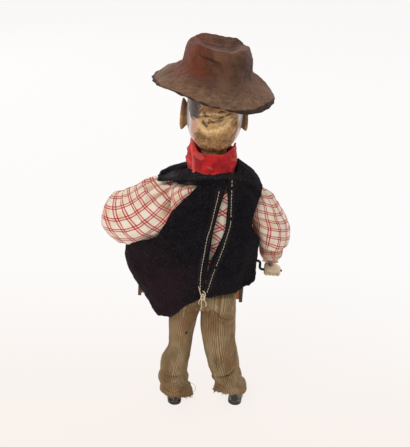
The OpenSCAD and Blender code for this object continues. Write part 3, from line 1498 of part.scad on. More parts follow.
hat();
head();
neck_peg();
neckerchief();
torso();
shirt_body();
waistcoat();
waistcoat_tie();
left_arm();
left_sleeve();
left_hand();
right_upper_arm();
right_upper_sleeve();
right_forearm();
right_lower_sleeve();
right_hand();
trousers();
left_leg();
right_leg();
left_shoe();
right_shoe();
organ_base();
organ_back();
organ_front();
organ_left_side();
organ_right_side();
organ_lid();
organ_pipes();
organ_bracket();
bracket_screws();
panel_pins();
right_plate();
left_plate();
pillars();
pillar_screws();
side_bushes();
crank();
crank_pinion();
crank_wheel();
great_wheel();
winding_arbor();
ratchet_wheel();
click();
click_spring();
mainspring();
third_arbor();
third_pinion();
third_wheel();
fly_arbor();
fly_pinion();
fly();
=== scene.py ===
import json
import math

import bmesh
import bpy
import numpy as np
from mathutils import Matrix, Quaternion, Vector
from mathutils.bvhtree import BVHTree


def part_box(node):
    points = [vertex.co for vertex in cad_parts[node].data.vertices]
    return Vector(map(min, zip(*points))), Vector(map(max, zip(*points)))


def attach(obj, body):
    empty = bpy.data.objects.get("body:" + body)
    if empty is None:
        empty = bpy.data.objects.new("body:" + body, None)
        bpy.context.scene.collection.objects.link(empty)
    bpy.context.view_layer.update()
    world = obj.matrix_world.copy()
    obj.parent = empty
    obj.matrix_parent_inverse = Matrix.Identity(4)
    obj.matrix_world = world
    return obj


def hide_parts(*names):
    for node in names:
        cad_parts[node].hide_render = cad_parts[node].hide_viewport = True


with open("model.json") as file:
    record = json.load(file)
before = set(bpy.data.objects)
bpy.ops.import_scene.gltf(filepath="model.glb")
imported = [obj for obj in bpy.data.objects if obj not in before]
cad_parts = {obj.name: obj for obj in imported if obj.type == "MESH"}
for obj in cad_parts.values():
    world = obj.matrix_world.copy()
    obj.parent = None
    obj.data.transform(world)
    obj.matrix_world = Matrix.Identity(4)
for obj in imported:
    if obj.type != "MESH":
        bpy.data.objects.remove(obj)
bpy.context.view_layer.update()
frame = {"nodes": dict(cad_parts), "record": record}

# Lengths are in millimetres about the body's upright axis until a mesh is made
MM = 0.001


def box_mm(node):
    """Lowest and highest corner of a CAD node, in millimetres of the frame"""
    low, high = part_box(node)
    return np.array(low) / MM, np.array(high) / MM


# Levels of the figure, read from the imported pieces
HEAD_Y = 1.0
peg_low, peg_high = box_mm("neck_peg")
AXIS = np.array([(peg_low[0] + peg_high[0]) / 2, (peg_low[1] + peg_high[1]) / 2 - HEAD_Y, 0.0])
HIP_Z = box_mm("torso")[0][2]
SHOULDER_Z = HIP_Z + 96
CHIN_Z = SHOULDER_Z + 22
CROWN_FOOT_Z = CHIN_Z + 53
WAIST_Z = HIP_Z + 22
TORSO_Y = 2.5
TORSO_HALF_W = 27.0
TORSO_HALF_D = 13.0
FULL = 2 * math.pi


# Shapes of curves
def mix(a, b, t):
    return a + (b - a) * t


def bell(x, width):
    return np.exp(-((x / width) ** 2))


def ramp(a, b, x):
    t = np.clip((x - a) / (b - a), 0, 1)
    return t * t * (3 - 2 * t)


def through(places, values, x):
    """Smooth curve through values at places; values may be numbers, points or rings of points"""
    places, values = np.array(places, float), np.array(values, float)
    x = np.clip(np.asarray(x, float), places[0], places[-1])
    count = len(places)
    before, after = np.maximum(np.arange(count) - 1, 0), np.minimum(np.arange(count) + 1, count - 1)
    wide = (...,) + (None,) * (values.ndim - 1)
    slopes = (values[after] - values[before]) / (places[after] - places[before])[wide]
    i = np.clip(np.searchsorted(places, x, side="right") - 1, 0, count - 2)
    h = (places[i + 1] - places[i])[wide]
    s = ((x - places[i]) / (places[i + 1] - places[i]))[wide]
    return (
        (2 * s**3 - 3 * s**2 + 1) * values[i] + (s**3 - 2 * s**2 + s) * h * slopes[i]
        + (3 * s**2 - 2 * s**3) * values[i + 1] + (s**3 - s**2) * h * slopes[i + 1])


def curve(table, x, column=1):
    """Smooth curve through a short table of (place, value), or of a place and several values"""
    rows = list(zip(*table))
    return through(rows[0], rows[column], x)


def soft_sin(a, n):
    return np.sign(np.sin(a)) * np.abs(np.sin(a)) ** (2 / n)


def soft_cos(a, n):
    return np.sign(np.cos(a)) * np.abs(np.cos(a)) ** (2 / n)


def waves(points, size, seed, count=22):
    """Soft random field of about -1 to 1 over points, with lumps of the given size"""
    rng = np.random.default_rng(seed)
    ways = rng.normal(size=(count, 3))
    ways *= rng.uniform(0.6, 1.4, (count, 1)) / np.linalg.norm(ways, axis=1, keepdims=True)
    phases = rng.uniform(0, FULL, count)
    return np.cos(np.asarray(points) @ ways.T * (FULL / size) + phases).sum(-1) / math.sqrt(count)


def xyz(x, y, z):
    """Points from their parts, each part a number or a table that fits the others"""
    return np.stack(np.broadcast_arrays(x, y, z), -1)


def circle_angles(count):
    return np.linspace(0, FULL, count, endpoint=False)


def smooth_rows(rings, count):
    """Rings resampled evenly along a smooth path through them"""
    rings = np.array(rings, float)
    steps = np.linalg.norm(np.diff(rings, axis=0), axis=2).mean(axis=1)
    at = np.concatenate([[0], np.cumsum(steps)])
    return through(at, rings, np.linspace(0, at[-1], count))


def grid_normals(points, closed=True):
    """Outward normals of a grid of rings"""
    if closed:
        padded = np.concatenate([points[:, -1:], points, points[:, :1]], axis=1)
        along = (padded[:, 2:] - padded[:, :-2])
    else:
        along = np.gradient(points, axis=1)
    across = np.gradient(points, axis=0)
    normals = np.cross(along, across)
    normals /= np.maximum(np.linalg.norm(normals, axis=2, keepdims=True), 1e-9)
    out = points - points.mean(axis=1, keepdims=True)
    return normals * (1 if (normals * out).sum() > 0 else -1)


def line_distance(x, z, line):
    """Distance across Y from a line of (x, z) points, and how far along it the nearest point is"""
    best, share = np.full(np.shape(x), 1e9), np.zeros(np.shape(x))
    for i, (a, b) in enumerate(zip(line[:-1], line[1:])):
        run = np.subtract(b, a)
        t = np.clip(((x - a[0]) * run[0] + (z - a[1]) * run[1]) / (run @ run), 0, 1)
        far = np.hypot(x - a[0] - t * run[0], z - a[1] - t * run[1])
        nearer = far < best
        best, share = np.where(nearer, far, best), np.where(nearer, (i + t) / (len(line) - 1), share)
    return best, share


def creased(points, line, depth, width, normals):
    """Presses a crease along a line of (x, z) into the back of a grid, with a roll of cloth above it"""
    far, share = line_distance(points[..., 0], points[..., 2], line)
    fade = ramp(0, 0.12, share) * ramp(1, 0.88, share)
    seen = ramp(-0.1, 0.3, normals[..., 1])
    height = points[..., 2] - np.interp(share * (len(line) - 1), range(len(line)), [p[1] for p in line])
    roll = 0.7 * bell(far - 1.7 * width, width) * (height > 0)
    return points + normals * ((roll - bell(far, width)) * depth * fade * seen)[..., None]


# Meshes
def in_frame(points):
    """Points in metres of the frame"""
    return (np.asarray(points, float).reshape(-1, 3) + AXIS) * MM


def coordinates(mesh):
    flat = np.zeros(len(mesh.vertices) * 3)
    mesh.vertices.foreach_get("co", flat)
    return flat.reshape(-1, 3)


def add_object(name, data):
    piece = bpy.data.objects.new(name, data)
    bpy.context.scene.collection.objects.link(piece)
    return piece


def make_object(name, points, faces, slot):
    mesh = bpy.data.meshes.new(name)
    mesh.from_pydata(in_frame(points).tolist(), [], [list(f) for f in faces])
    mesh.polygons.foreach_set("use_smooth", [True] * len(mesh.polygons))
    mesh.materials.append(MATERIALS[slot])
    return add_object(name, mesh)


def add_mark(piece, name, values):
    """Number on each point that the piece's material reads"""
    mark = piece.data.attributes.new(name, "FLOAT", "POINT")
    mark.data.foreach_set("value", np.asarray(values, np.float32).ravel())


def grid_piece(name, points, slot, closed=True, cloth=None, marks=None, capped=False):
    """Piece over a grid of points, with its cloth coordinates in millimetres of flat cloth"""
    rows, cols = points.shape[:2]
    last = cols if closed else cols - 1
    r, c = np.meshgrid(np.arange(rows - 1), np.arange(last), indexing="ij")
    a, b = r * cols + c, r * cols + (c + 1) % cols
    quads = np.stack([a, b, b + cols, a + cols], -1).reshape(-1, 4)
    flat = points.reshape(-1, 3)
    normal = np.cross(flat[quads[:, 1]] - flat[quads[:, 0]], flat[quads[:, 3]] - flat[quads[:, 0]])
    centres = np.repeat(points.mean(axis=1), cols, axis=0)
    if (normal * (flat[quads[:, 0]] - centres[quads[:, 0]])).sum() < 0:
        quads = quads[:, ::-1]
        turned = True
    else:
        turned = False
    faces = quads.tolist()
    if capped:
        top, foot = (rows - 1) * cols, len(flat)
        flat = np.concatenate([flat, points[0].mean(0)[None], points[-1].mean(0)[None]])
        for i in range(last):
            j = (i + 1) % cols
            faces += [[j, i, foot], [top + i, top + j, foot + 1]]
    piece = make_object(name, flat, faces, slot)
    if cloth is not None:
        corners = np.stack([cloth[:-1, :-1], cloth[:-1, 1:], cloth[1:, 1:], cloth[1:, :-1]], -2)
        corners = corners.reshape(-1, 4, 2)
        if turned:
            corners = corners[:, ::-1]
        layer = piece.data.uv_layers.new(name="cloth")
        uv = np.zeros((len(piece.data.loops), 2), np.float32)
        uv[: corners.size // 2] = corners.reshape(-1, 2) * MM
        layer.data.foreach_set("uv", uv.ravel())
    for mark, values in (marks or {}).items():
        values = np.broadcast_to(values, (rows, cols)).ravel()
        add_mark(piece, mark, np.concatenate([values, np.zeros(len(flat) - len(values))]))
    return piece


def tube_cloth(points, step, turn=0.0):
    """Cloth coordinates of a tube of rings, whole patterns of the given step round it, turned by an angle"""
    rows, cols = points.shape[:2]
    girths = np.linalg.norm(np.roll(points, -1, axis=1) - points, axis=2).sum(axis=1)
    girth = round(girths.max() / step) * step
    lengths = np.linalg.norm(np.diff(points, axis=0), axis=2).mean(axis=1)
    u = np.broadcast_to(np.linspace(0, girth, cols + 1), (rows, cols + 1))
    v = np.broadcast_to(np.concatenate([[0], np.cumsum(lengths)])[:, None], (rows, cols + 1))
    c, s = math.cos(turn), math.sin(turn)
    return np.stack([u * c - v * s, u * s + v * c], -1)


def modify(piece, kind, **settings):
    made = piece.modifiers.new(kind.lower(), kind)
    for key, value in settings.items():
        setattr(made, key, value)


def thicken(piece, thickness):
    modify(piece, "SOLIDIFY", thickness=thickness * MM, offset=-1)


def subdivide(piece):
    modify(piece, "SUBSURF", levels=1, render_levels=1)


def ring_faces(rows, cols):
    """Faces of a closed grid of rings, with a face at each end"""
    faces = [[i * cols + c, i * cols + (c + 1) % cols, (i + 1) * cols + (c + 1) % cols, (i + 1) * cols + c]
        for i in range(rows - 1) for c in range(cols)]
    return faces + [list(range(cols))[::-1], [(rows - 1) * cols + c for c in range(cols)]]


def tube_mesh(line, radius, sides):
    """Points and faces of a round tube along a line of points"""
    line = np.array(line, float)
    ahead = np.gradient(line, axis=0)
    ahead /= np.maximum(np.linalg.norm(ahead, axis=1, keepdims=True), 1e-9)
    side = np.cross(ahead[0], [0.31, 0.17, 0.93])
    w = circle_angles(sides)[:, None]
    rings = []
    for middle, way in zip(line, ahead):
        side = side - (side @ way) * way
        side /= np.linalg.norm(side)
        rings.append(middle + radius * (side * np.cos(w) + np.cross(way, side) * np.sin(w)))
    return np.concatenate(rings), ring_faces(len(line), sides)


def joined(meshes):
    """Points and faces of several small meshes as one"""
    points, faces, base = [], [], 0
    for some_points, some_faces in meshes:
        points.append(some_points)
        faces += [[base + i for i in f] for f in some_faces]
        base += len(some_points)
    return np.concatenate(points), faces


def tubes_piece(name, lines, radius, slot, sides=8):
    points, faces = joined([tube_mesh(line, radius, sides) for line in lines])
    return make_object(name, points, faces, slot)


def softened(name, node, slot, voxel, rounds, swell):
    """Copy of a CAD node with its facets and edges worn round, and swelled"""
    piece = add_object(name, frame["nodes"][node].data.copy())
    piece.data.materials.clear()
    piece.data.materials.append(MATERIALS[slot])
    modify(piece, "WELD", merge_threshold=1e-6)
    modify(piece, "REMESH", mode="VOXEL", voxel_size=voxel * MM, use_smooth_shade=True)
    modify(piece, "SMOOTH", factor=0.5, iterations=rounds)
    apply_modifiers(piece)
    vertices = piece.data.vertices
    normals = np.array([v.normal for v in vertices])
    vertices.foreach_set("co", (coordinates(piece.data) + normals * swell * MM).ravel())
    return piece


def apply_modifiers(piece):
    """Makes the shape that the modifiers give the piece's own mesh"""
    graph = bpy.context.evaluated_depsgraph_get()
    shown = bpy.data.meshes.new_from_object(
        piece.evaluated_get(graph), preserve_all_data_layers=True, depsgraph=graph)
    piece.modifiers.clear()
    piece.data = shown
    shown.polygons.foreach_set("use_smooth", [True] * len(shown.polygons))


def tree_of(piece):
    """The piece's surface, for finding points on it"""
    graph = bpy.context.evaluated_depsgraph_get()
    return BVHTree.FromObject(piece, graph)


def on_back(tree, x, z, proud):
    """Point where a line from behind meets a surface, raised by proud, or None"""
    start = Vector(in_frame([[x, 120, z]])[0])
    hit, normal, _, _ = tree.ray_cast(start, Vector((0, -1, 0)))
    return None if hit is None else np.array(hit) / MM - AXIS + np.array(normal) * proud


def crumple(piece, held, cols, grow, pressure, cap):
    """Lets cloth buckle between its held rows, ten times its size, moving no point further than cap"""
    frames, size = 22, 10.0
    mesh = piece.data
    rest = coordinates(mesh)
    mesh.vertices.foreach_set("co", (rest * size).ravel())
    group = piece.vertex_groups.new(name="pinned")
    for i, weight in enumerate(np.repeat(np.clip(held, 0, 1), cols)):
        if weight > 0:
            group.add([i], float(weight), "REPLACE")
    cloth = piece.modifiers.new("cloth", "CLOTH")
    for key, value in (
            ("quality", 5), ("mass", 0.2), ("tension_stiffness", 12), ("compression_stiffness", 12),
            ("shear_stiffness", 4), ("bending_stiffness", 0.4), ("air_damping", 4), ("shrink_min", -grow),
            ("use_pressure", True), ("uniform_pressure_force", pressure), ("vertex_group_mass", "pinned")):
        setattr(cloth.settings, key, value)
    cloth.settings.effector_weights.gravity = 0
    cloth.collision_settings.use_collision = False
    cloth.point_cache.frame_start = 1
    cloth.point_cache.frame_end = frames
    scene = bpy.context.scene
    for f in range(1, frames + 1):
        scene.frame_set(f)
    shown = piece.evaluated_get(bpy.context.evaluated_depsgraph_get())
    step = coordinates(shown.data) / size - rest
    far = np.linalg.norm(step, axis=1, keepdims=True)
    step *= cap * MM * np.tanh(far / (cap * MM)) / np.maximum(far, 1e-12)
    piece.modifiers.remove(cloth)
    piece.vertex_groups.remove(group)
    mesh.vertices.foreach_set("co", (rest + step).ravel())
    mesh.update()
    scene.frame_set(1)


# Materials
def srgb(red, green, blue):
    """Colour as a picture gives it, as the light it sends back"""
    def linear(v):
        v /= 255
        return v / 12.92 if v <= 0.04045 else ((v + 0.055) / 1.055) ** 2.4
    return (linear(red), linear(green), linear(blue), 1.0)


def darkened(colour, share):
    return tuple(share * part for part in srgb(*colour)[:3]) + (1.0,)


class Wiring:
    """Shader nodes under construction"""

    def __init__(self, tree):
        self.tree = tree

    def join(self, socket, value):
        if isinstance(value, bpy.types.NodeSocket):
            self.tree.links.new(value, socket)
        else:
            socket.default_value = value

    def node(self, kind, *inputs, out=0, **settings):
        made = self.tree.nodes.new("ShaderNode" + kind)
        for key, value in settings.items():
            setattr(made, key, value)
        for i, value in enumerate(inputs):
            if value is not None:
                self.join(made.inputs[i], value)
        return made.outputs[out]

    def math(self, operation, *inputs):
        return self.node("Math", *inputs, operation=operation)


class Finish(Wiring):
    """Material under construction; tone is its colour so far, and colours are as a picture gives them"""

    def __init__(self, name, roughness=0.6, **fixed):
        self.material = bpy.data.materials.new(name)
        self.material.use_nodes = True
        super().__init__(self.material.node_tree)
        self.shader = self.tree.nodes["Principled BSDF"]
        self.put("Roughness", roughness)
        for key, value in fixed.items():
            self.put(key.replace("_", " ").title().replace("Ior", "IOR"), value)

    def put(self, name, value):
        self.join(self.shader.inputs[name], value)

    def place(self, stretch=(1, 1, 1)):
        """Place on the piece, in metres, stretched"""
        at = self.node("TexCoord", out=3)
        return at if stretch == (1, 1, 1) else self.node("VectorMath", at, stretch, operation="MULTIPLY")

    def cloth(self):
        """Place on the flat cloth, in millimetres, as two numbers and as one vector"""
        metres = self.node("UVMap", uv_map="cloth")
        flat = self.node("VectorMath", metres, (1000, 1000, 1000), operation="MULTIPLY")
        return self.node("SeparateXYZ", flat), self.node("SeparateXYZ", flat, out=1), flat

    def noise(self, size, detail=3.0, rough=0.5, stretch=(1, 1, 1), warp=0.0, at=None):
        """Random number of about 0 to 1, with lumps of the given size in millimetres"""
        made = self.tree.nodes.new("ShaderNodeTexNoise")
        for name, value in (
                ("Vector", self.place(stretch) if at is None else at),
                ("Scale", (1000 if at is None else 1) / size),
                ("Detail", detail), ("Roughness", rough), ("Distortion", warp)):
            self.join(made.inputs[name], value)
        return made.outputs[0]

    def spread(self, value, low, high, to_low=0.0, to_high=1.0):
        """Value from low to high spread over another range, held at its ends"""
        return self.node("MapRange", value, low, high, to_low, to_high, interpolation_type="SMOOTHSTEP")

    def blend(self, share, a, b):
        made = self.tree.nodes.new("ShaderNodeMix")
        made.data_type = "RGBA"
        for i, value in ((0, share), (6, a), (7, b)):
            given = isinstance(value, tuple) and len(value) == 3
            self.join(made.inputs[i], srgb(*value) if given else value)
        return made.outputs[2]

    def ground(self, share, a, b):
        """Starts the tone between two colours"""
        self.tone = self.blend(share, a, b)

    def lay(self, colour, share, times=None):
        """Lays a colour over the tone, by a share or by the product of two"""
        if times is not None:
            share = self.math("MULTIPLY", share, times)
        self.tone = self.blend(share, self.tone, colour)

    def mark(self, name):
        return self.node("Attribute", out=2, attribute_name=name)

    def bump(self, height, distance, under=None):
        """Relief of the given height in millimetres"""
        made = self.tree.nodes.new("ShaderNodeBump")
        made.inputs["Distance"].default_value = distance * MM
        made.inputs["Strength"].default_value = 1.0
        self.join(made.inputs["Height"], height)
        if under is not None:
            self.join(made.inputs["Normal"], under)
        self.put("Normal", made.outputs[0])
        return made.outputs[0]

    def done(self):
        self.put("Base Color", self.tone)
        return self.material


def hat_felt():
    f = Finish("hat_felt", 0.85, specular_ior_level=0.2, sheen_weight=0.1, sheen_roughness=0.5)
    large, small = f.noise(14, 4, 0.6, warp=0.4), f.noise(2.2, 5, 0.65)
    streaks = f.noise(1.4, 4, 0.65, stretch=(0.35, 1, 1.6), warp=0.5)
    f.ground(f.spread(large, 0.36, 0.64), (74, 42, 30), (116, 76, 54))
    f.lay((132, 103, 80), f.spread(small, 0.48, 0.78, 0, 0.45))
    f.lay((118, 54, 30), f.mark("rust"), f.spread(streaks, 0.35, 0.65, 0.3, 0.8))
    f.lay((64, 53, 42), f.mark("olive"), 0.35)
    f.lay((142, 113, 88), f.mark("pale"), f.spread(streaks, 0.35, 0.65, 0.15, 0.8))
    # Painted highlight along the crest of the crown's near rim
    f.lay((150, 116, 106), f.mark("crest_highlight"), 0.8)
    # Darker at the brim's rim, and painted shade in the crease and the valley behind the crown
    f.lay((34, 24, 19), f.mark("dark"))
    f.put("Roughness", f.spread(small, 0.3, 0.7, 0.7, 0.95))
    fibres = f.noise(0.7, 3, 0.7, warp=1.2)
    f.bump(fibres, 0.22, f.bump(small, 0.5))
    return f.done()


def painted_composition():
    """Bare composition where the head is worn, gloss paint with the face's colours elsewhere"""
    f = Finish("head_composition", 0.6, coat_weight=0.3, coat_roughness=0.1)
    large, small = f.noise(7, 5, 0.6, warp=0.6), f.noise(1.1, 5, 0.7)
    streaks = f.noise(0.9, 4, 0.7, stretch=(1.6, 1.6, 0.2))
    f.ground(f.spread(large, 0.35, 0.62), (150, 98, 50), (212, 160, 98))
    f.lay((88, 60, 36), f.spread(small, 0.5, 0.8, 0, 0.75))
    f.lay((92, 64, 38), f.math("MULTIPLY", f.mark("speckled"), f.spread(streaks, 0.42, 0.6)), 0.8)
    glow = f.blend(f.spread(small, 0.3, 0.7), (236, 176, 96), (255, 230, 178))
    f.lay(glow, f.mark("bright"), f.spread(large, 0.2, 0.6, 0.6, 1.0))
    # Dark cracks, spots and patches in the gouge, and painted shade in the ears' hollows and at their roots
    f.lay((66, 40, 20), f.mark("crack_and_shade"))
    bare = f.tone
    f.ground(f.spread(large, 0.3, 0.7), (218, 180, 156), (200, 160, 136))
    f.lay((188, 120, 92), f.mark("cheek"), 0.6)
    f.lay((160, 76, 66), f.mark("lip"))
    f.lay((236, 230, 218), f.mark("eye_white"))
    f.lay((58, 42, 32), f.mark("iris"))
    # Painted reflection: pale gloss at the far sides of the head, towards the back
    f.lay((214, 210, 212), f.mark("side_reflection"), 0.75)
    f.lay((150, 112, 76), f.spread(f.noise(2.4, 5, 0.75), 0.62, 0.7), 0.5)
    hair = f.blend(f.spread(small, 0.45, 0.75), (54, 36, 28), (98, 68, 48))
    f.lay(hair, f.mark("hair"))
    painted = f.mark("painted")
    f.ground(painted, bare, f.tone)
    f.put("Roughness", f.spread(painted, 0, 1, 0.72, 0.16))
    f.bump(f.math("MULTIPLY", small, f.math("SUBTRACT", 1.15, painted)), 0.5)
    return f.done()


CHECK_STEP = 7.2
CHECK_LONG_STEP = 8.4
CHECK_PAIR = 1.75
CHECK_LINE = 0.75


def checked_cotton():
    """White cotton with a check of paired red lines, each pair pink between"""
    f = Finish("checked_cotton", 0.85, specular_ior_level=0.25, sheen_weight=0.1, sheen_roughness=0.5)
    u, v, flat = f.cloth()

    def lines(place, step):
        off = f.math("PINGPONG", place, step / 2)
        away = f.math("ABSOLUTE", f.math("SUBTRACT", off, CHECK_PAIR / 2))
        return f.spread(away, CHECK_LINE * 0.3, CHECK_LINE * 0.75, 1.0, 0.0)

    def between(place, step):
        return f.spread(f.math("PINGPONG", place, step / 2), CHECK_PAIR * 0.4, CHECK_PAIR * 0.7, 0.3, 0.0)

    red = (198, 36, 50)
    f.ground(f.spread(f.noise(9, 4, 0.6), 0.42, 0.7, 0, 0.7), (246, 234, 212), (230, 196, 150))
    f.lay((240, 170, 165), f.math("MAXIMUM", between(u, CHECK_LONG_STEP), between(v, CHECK_STEP)))
    fade = f.spread(f.noise(5, 3, 0.5), 0.3, 0.7, 0.8, 1.0)
    around, along = lines(u, CHECK_LONG_STEP), lines(v, CHECK_STEP)
    f.lay(red, around, fade)
    f.lay(red, along, fade)
    f.lay((130, 26, 36), f.math("MULTIPLY", around, along), 0.8)
    # Tan in the valleys between the left sleeve's gathers, and towards the top of the right lower sleeve
    f.lay((190, 122, 78), f.mark("tan_tint"), 0.6)
    weave = f.math("ADD", f.math("PINGPONG", u, 0.16), f.math("PINGPONG", v, 0.16))
    slub = f.noise(0.5, 2, 0.6, at=flat)
    f.bump(slub, 0.08, f.bump(weave, 0.25))
    return f.done()


def red_cotton():
    f = Finish("red_cloth", 0.75, specular_ior_level=0.25, sheen_weight=0.1, sheen_roughness=0.4)
    large, small = f.noise(6, 4, 0.6), f.noise(0.8, 4, 0.7, stretch=(1, 1, 0.4))
    f.ground(f.spread(large, 0.35, 0.65), (150, 14, 20), (208, 28, 32))
    f.lay((236, 84, 76), f.spread(small, 0.55, 0.8, 0, 0.5))
    # Painted highlight on the cloth's folds, wrinkle crests and rolled edges, and lighter patches on the knot
    f.lay((240, 116, 104), f.mark("ridge"), 0.6)
    f.put("Roughness", f.spread(small, 0.3, 0.8, 0.6, 0.85))
    f.bump(f.noise(0.35, 2, 0.5), 0.14, f.bump(small, 0.4))
    return f.done()


def navy_felt():
    f = Finish("navy_felt", 0.95, specular_ior_level=0.12, sheen_weight=0.02, sheen_roughness=0.5,
        sheen_tint=srgb(190, 185, 205))
    large, small = f.noise(22, 4, 0.6, warp=0.5), f.noise(0.9, 5, 0.75, warp=1.0)
    f.ground(f.spread(large, 0.4, 0.62), (5, 5, 7), (22, 16, 20))
    f.lay((38, 20, 25), f.mark("warm"), f.spread(large, 0.3, 0.6, 0.4, 1.0))
    f.lay((60, 52, 58), f.spread(small, 0.5, 0.7, 0, 0.9))
    f.lay((132, 124, 128), f.spread(f.noise(0.6, 1, 0.5, stretch=(1, 1, 1.8)), 0.75, 0.8, 0, 0.9))
    # Lighter felt: wear at the hem's edge, and painted highlight on the strap's raised folds, on the rolls
    # beside the stitches and on the raised band above the yoke
    f.lay((104, 96, 98), f.mark("worn"), f.spread(small, 0.35, 0.65, 0.1, 0.7))
    f.bump(f.noise(0.5, 3, 0.8, warp=1.5), 0.5, f.bump(f.noise(2.6, 4, 0.65), 1.3))
    return f.done()


WALE = 1.7


def corduroy():
    """Ribs of worn pile, each a wale wide, with bare grooves between, darkened with painted shade"""
    f = Finish("corduroy", 0.9, specular_ior_level=0.2, sheen_weight=0.15, sheen_roughness=0.4,
        sheen_tint=srgb(235, 215, 180))
    u, _, flat = f.cloth()
    wander = f.math("MULTIPLY", f.noise(6, 3, 0.6, at=flat), 1.3)
    rib = f.math("PINGPONG", f.math("ADD", u, wander), WALE / 2)
    ridge = f.spread(rib, 0.1, WALE * 0.42)
    pile = f.noise(0.8, 4, 0.7, at=flat)
    large = f.noise(11, 5, 0.6, stretch=(1, 1, 0.45))
    f.ground(f.spread(large, 0.36, 0.62), (148, 120, 82), (198, 170, 130))
    f.lay((166, 118, 78), f.spread(f.noise(16, 4), 0.42, 0.66, 0, 0.6))
    # Painted shade in the grooves between the ribs
    groove_shade = f.blend(0.7, f.tone, (92, 72, 44))
    f.ground(f.math("MULTIPLY", ridge, f.spread(pile, 0.25, 0.55, 0.5, 1.0)), groove_shade, f.tone)
    worn = f.math("MULTIPLY", f.spread(pile, 0.5, 0.75), f.spread(large, 0.45, 0.7))
    f.lay((202, 178, 140), worn, 0.6)
    # Painted shade in the moth hole of the left leg
    f.lay((40, 26, 18), f.mark("dark"))
    f.bump(f.math("MULTIPLY", ridge, f.spread(pile, 0.2, 0.7, 0.5, 1.0)), 0.45)
    return f.done()


def black_gloss():
    f = Finish("black_gloss", 0.2, coat_weight=0.6, coat_roughness=0.08)
    large, small = f.noise(4, 4, 0.6, warp=0.8), f.noise(0.9, 4, 0.7)
    f.ground(f.spread(large, 0.5, 0.68), (16, 14, 13), (58, 48, 38))
    f.lay((120, 104, 84), f.spread(small, 0.62, 0.75, 0, 0.7))
    f.put("Roughness", f.spread(small, 0.3, 0.7, 0.1, 0.42))
    f.bump(small, 0.12, f.bump(large, 0.4))
    return f.done()


def wood(name, dark, light, along, grain, roughness, coat=0.0):
    """Wood whose grain runs where along is small"""
    f = Finish(name, roughness, coat_weight=coat, coat_roughness=0.25)
    rings = f.noise(grain, 4, 0.6, stretch=along, warp=0.8)
    pores = f.noise(grain * 0.16, 2, 0.5, stretch=along)
    f.ground(f.spread(rings, 0.35, 0.65), dark, light)
    f.lay(darkened(dark, 0.35), f.spread(pores, 0.6, 0.75, 0, 0.45))
    f.lay(darkened(dark, 0.5), f.spread(f.noise(18, 3), 0.5, 0.75, 0, 0.3))
    f.put("Roughness", f.spread(rings, 0.3, 0.7, roughness * 0.8, min(1.0, roughness * 1.25)))
    f.bump(pores, 0.05, f.bump(rings, 0.08))
    return f.done()


def hand_finish():
    f = Finish("hand_wood", 0.45, coat_weight=0.1, coat_roughness=0.3)
    large, small = f.noise(5, 4, 0.6), f.noise(0.9, 4, 0.7)
    f.ground(f.spread(large, 0.35, 0.65), (212, 180, 136), (236, 212, 178))
    f.lay((150, 112, 72), f.spread(small, 0.58, 0.78, 0, 0.6))
    f.put("Roughness", f.spread(small, 0.3, 0.7, 0.35, 0.6))
    f.bump(small, 0.1)
    return f.done()


def metal(name, colour, tarnish, roughness, spots=4.0):
    f = Finish(name, roughness, metallic=1.0)
    large, small = f.noise(spots, 5, 0.65), f.noise(0.5, 3, 0.6, stretch=(1, 0.25, 1))
    f.ground(f.spread(large, 0.4, 0.72, 0, 0.85), colour, tarnish)
    f.put("Roughness", f.spread(large, 0.3, 0.7, roughness * 0.8, min(1.0, roughness * 1.7)))
    f.bump(small, 0.02)
    return f.done()


def spun(name, roughness, size, dark, light, relief=0.0):
    """Plain thread of two tones"""
    f = Finish(name, roughness)
    f.ground(f.spread(f.noise(size, 3, 0.7), 0.35, 0.65), dark, light)
    if relief:
        f.bump(f.noise(size / 2, 2, 0.5), relief)
    return f.done()


UPRIGHT, ACROSS, DEEP = (1, 1, 0.1), (0.1, 1, 1), (1, 0.12, 1)
MATERIALS = {
    "hat_felt": hat_felt(),
    "head_composition": painted_composition(),
    "limewood": wood("limewood", (196, 158, 108), (226, 194, 148), (1, 1, 0.12), 2.4, 0.5),
    "red_cloth": red_cotton(),
    "checked_cotton": checked_cotton(),
    "navy_felt": navy_felt(),
    "thread": spun("thread", 0.8, 0.5, (208, 178, 138), (246, 230, 202), 0.1),
    "fray": spun("fray", 0.9, 0.9, (120, 96, 62), (190, 166, 128)),
    "iron_wire": metal("iron_wire", (120, 118, 114), (74, 60, 48), 0.45),
    "hand_wood": hand_finish(),
    "corduroy": corduroy(),
    "black_gloss": black_gloss(),
    "organ_wood": wood("organ_wood", (190, 110, 50), (222, 146, 78), ACROSS, 3.0, 0.4, 0.2),
    "organ_front_wood": wood("organ_front_wood", (112, 54, 30), (152, 84, 46), ACROSS, 3.0, 0.35, 0.3),
    "organ_dark_wood": wood("organ_dark_wood", (66, 40, 24), (102, 66, 40), DEEP, 2.6, 0.4, 0.25),
    "pipe_wood": wood("pipe_wood", (190, 144, 74), (226, 188, 116), UPRIGHT, 1.8, 0.45, 0.1),
    "steel": metal("steel", (176, 178, 180), (120, 112, 104), 0.3),
    "spring_steel": metal("spring_steel", (84, 92, 112), (60, 56, 60), 0.3),
    "crank_wire": metal("crank_wire", (66, 66, 58), (38, 40, 34), 0.5, 2.0),
    "brass": metal("brass", (206, 168, 88), (150, 112, 58), 0.28),
}


WORN_EDGES = {
    "organ_wood": 0.25, "organ_front_wood": 0.25, "organ_dark_wood": 0.35, "pipe_wood": 0.1, "limewood": 0.3,
    "brass": 0.06, "steel": 0.05}


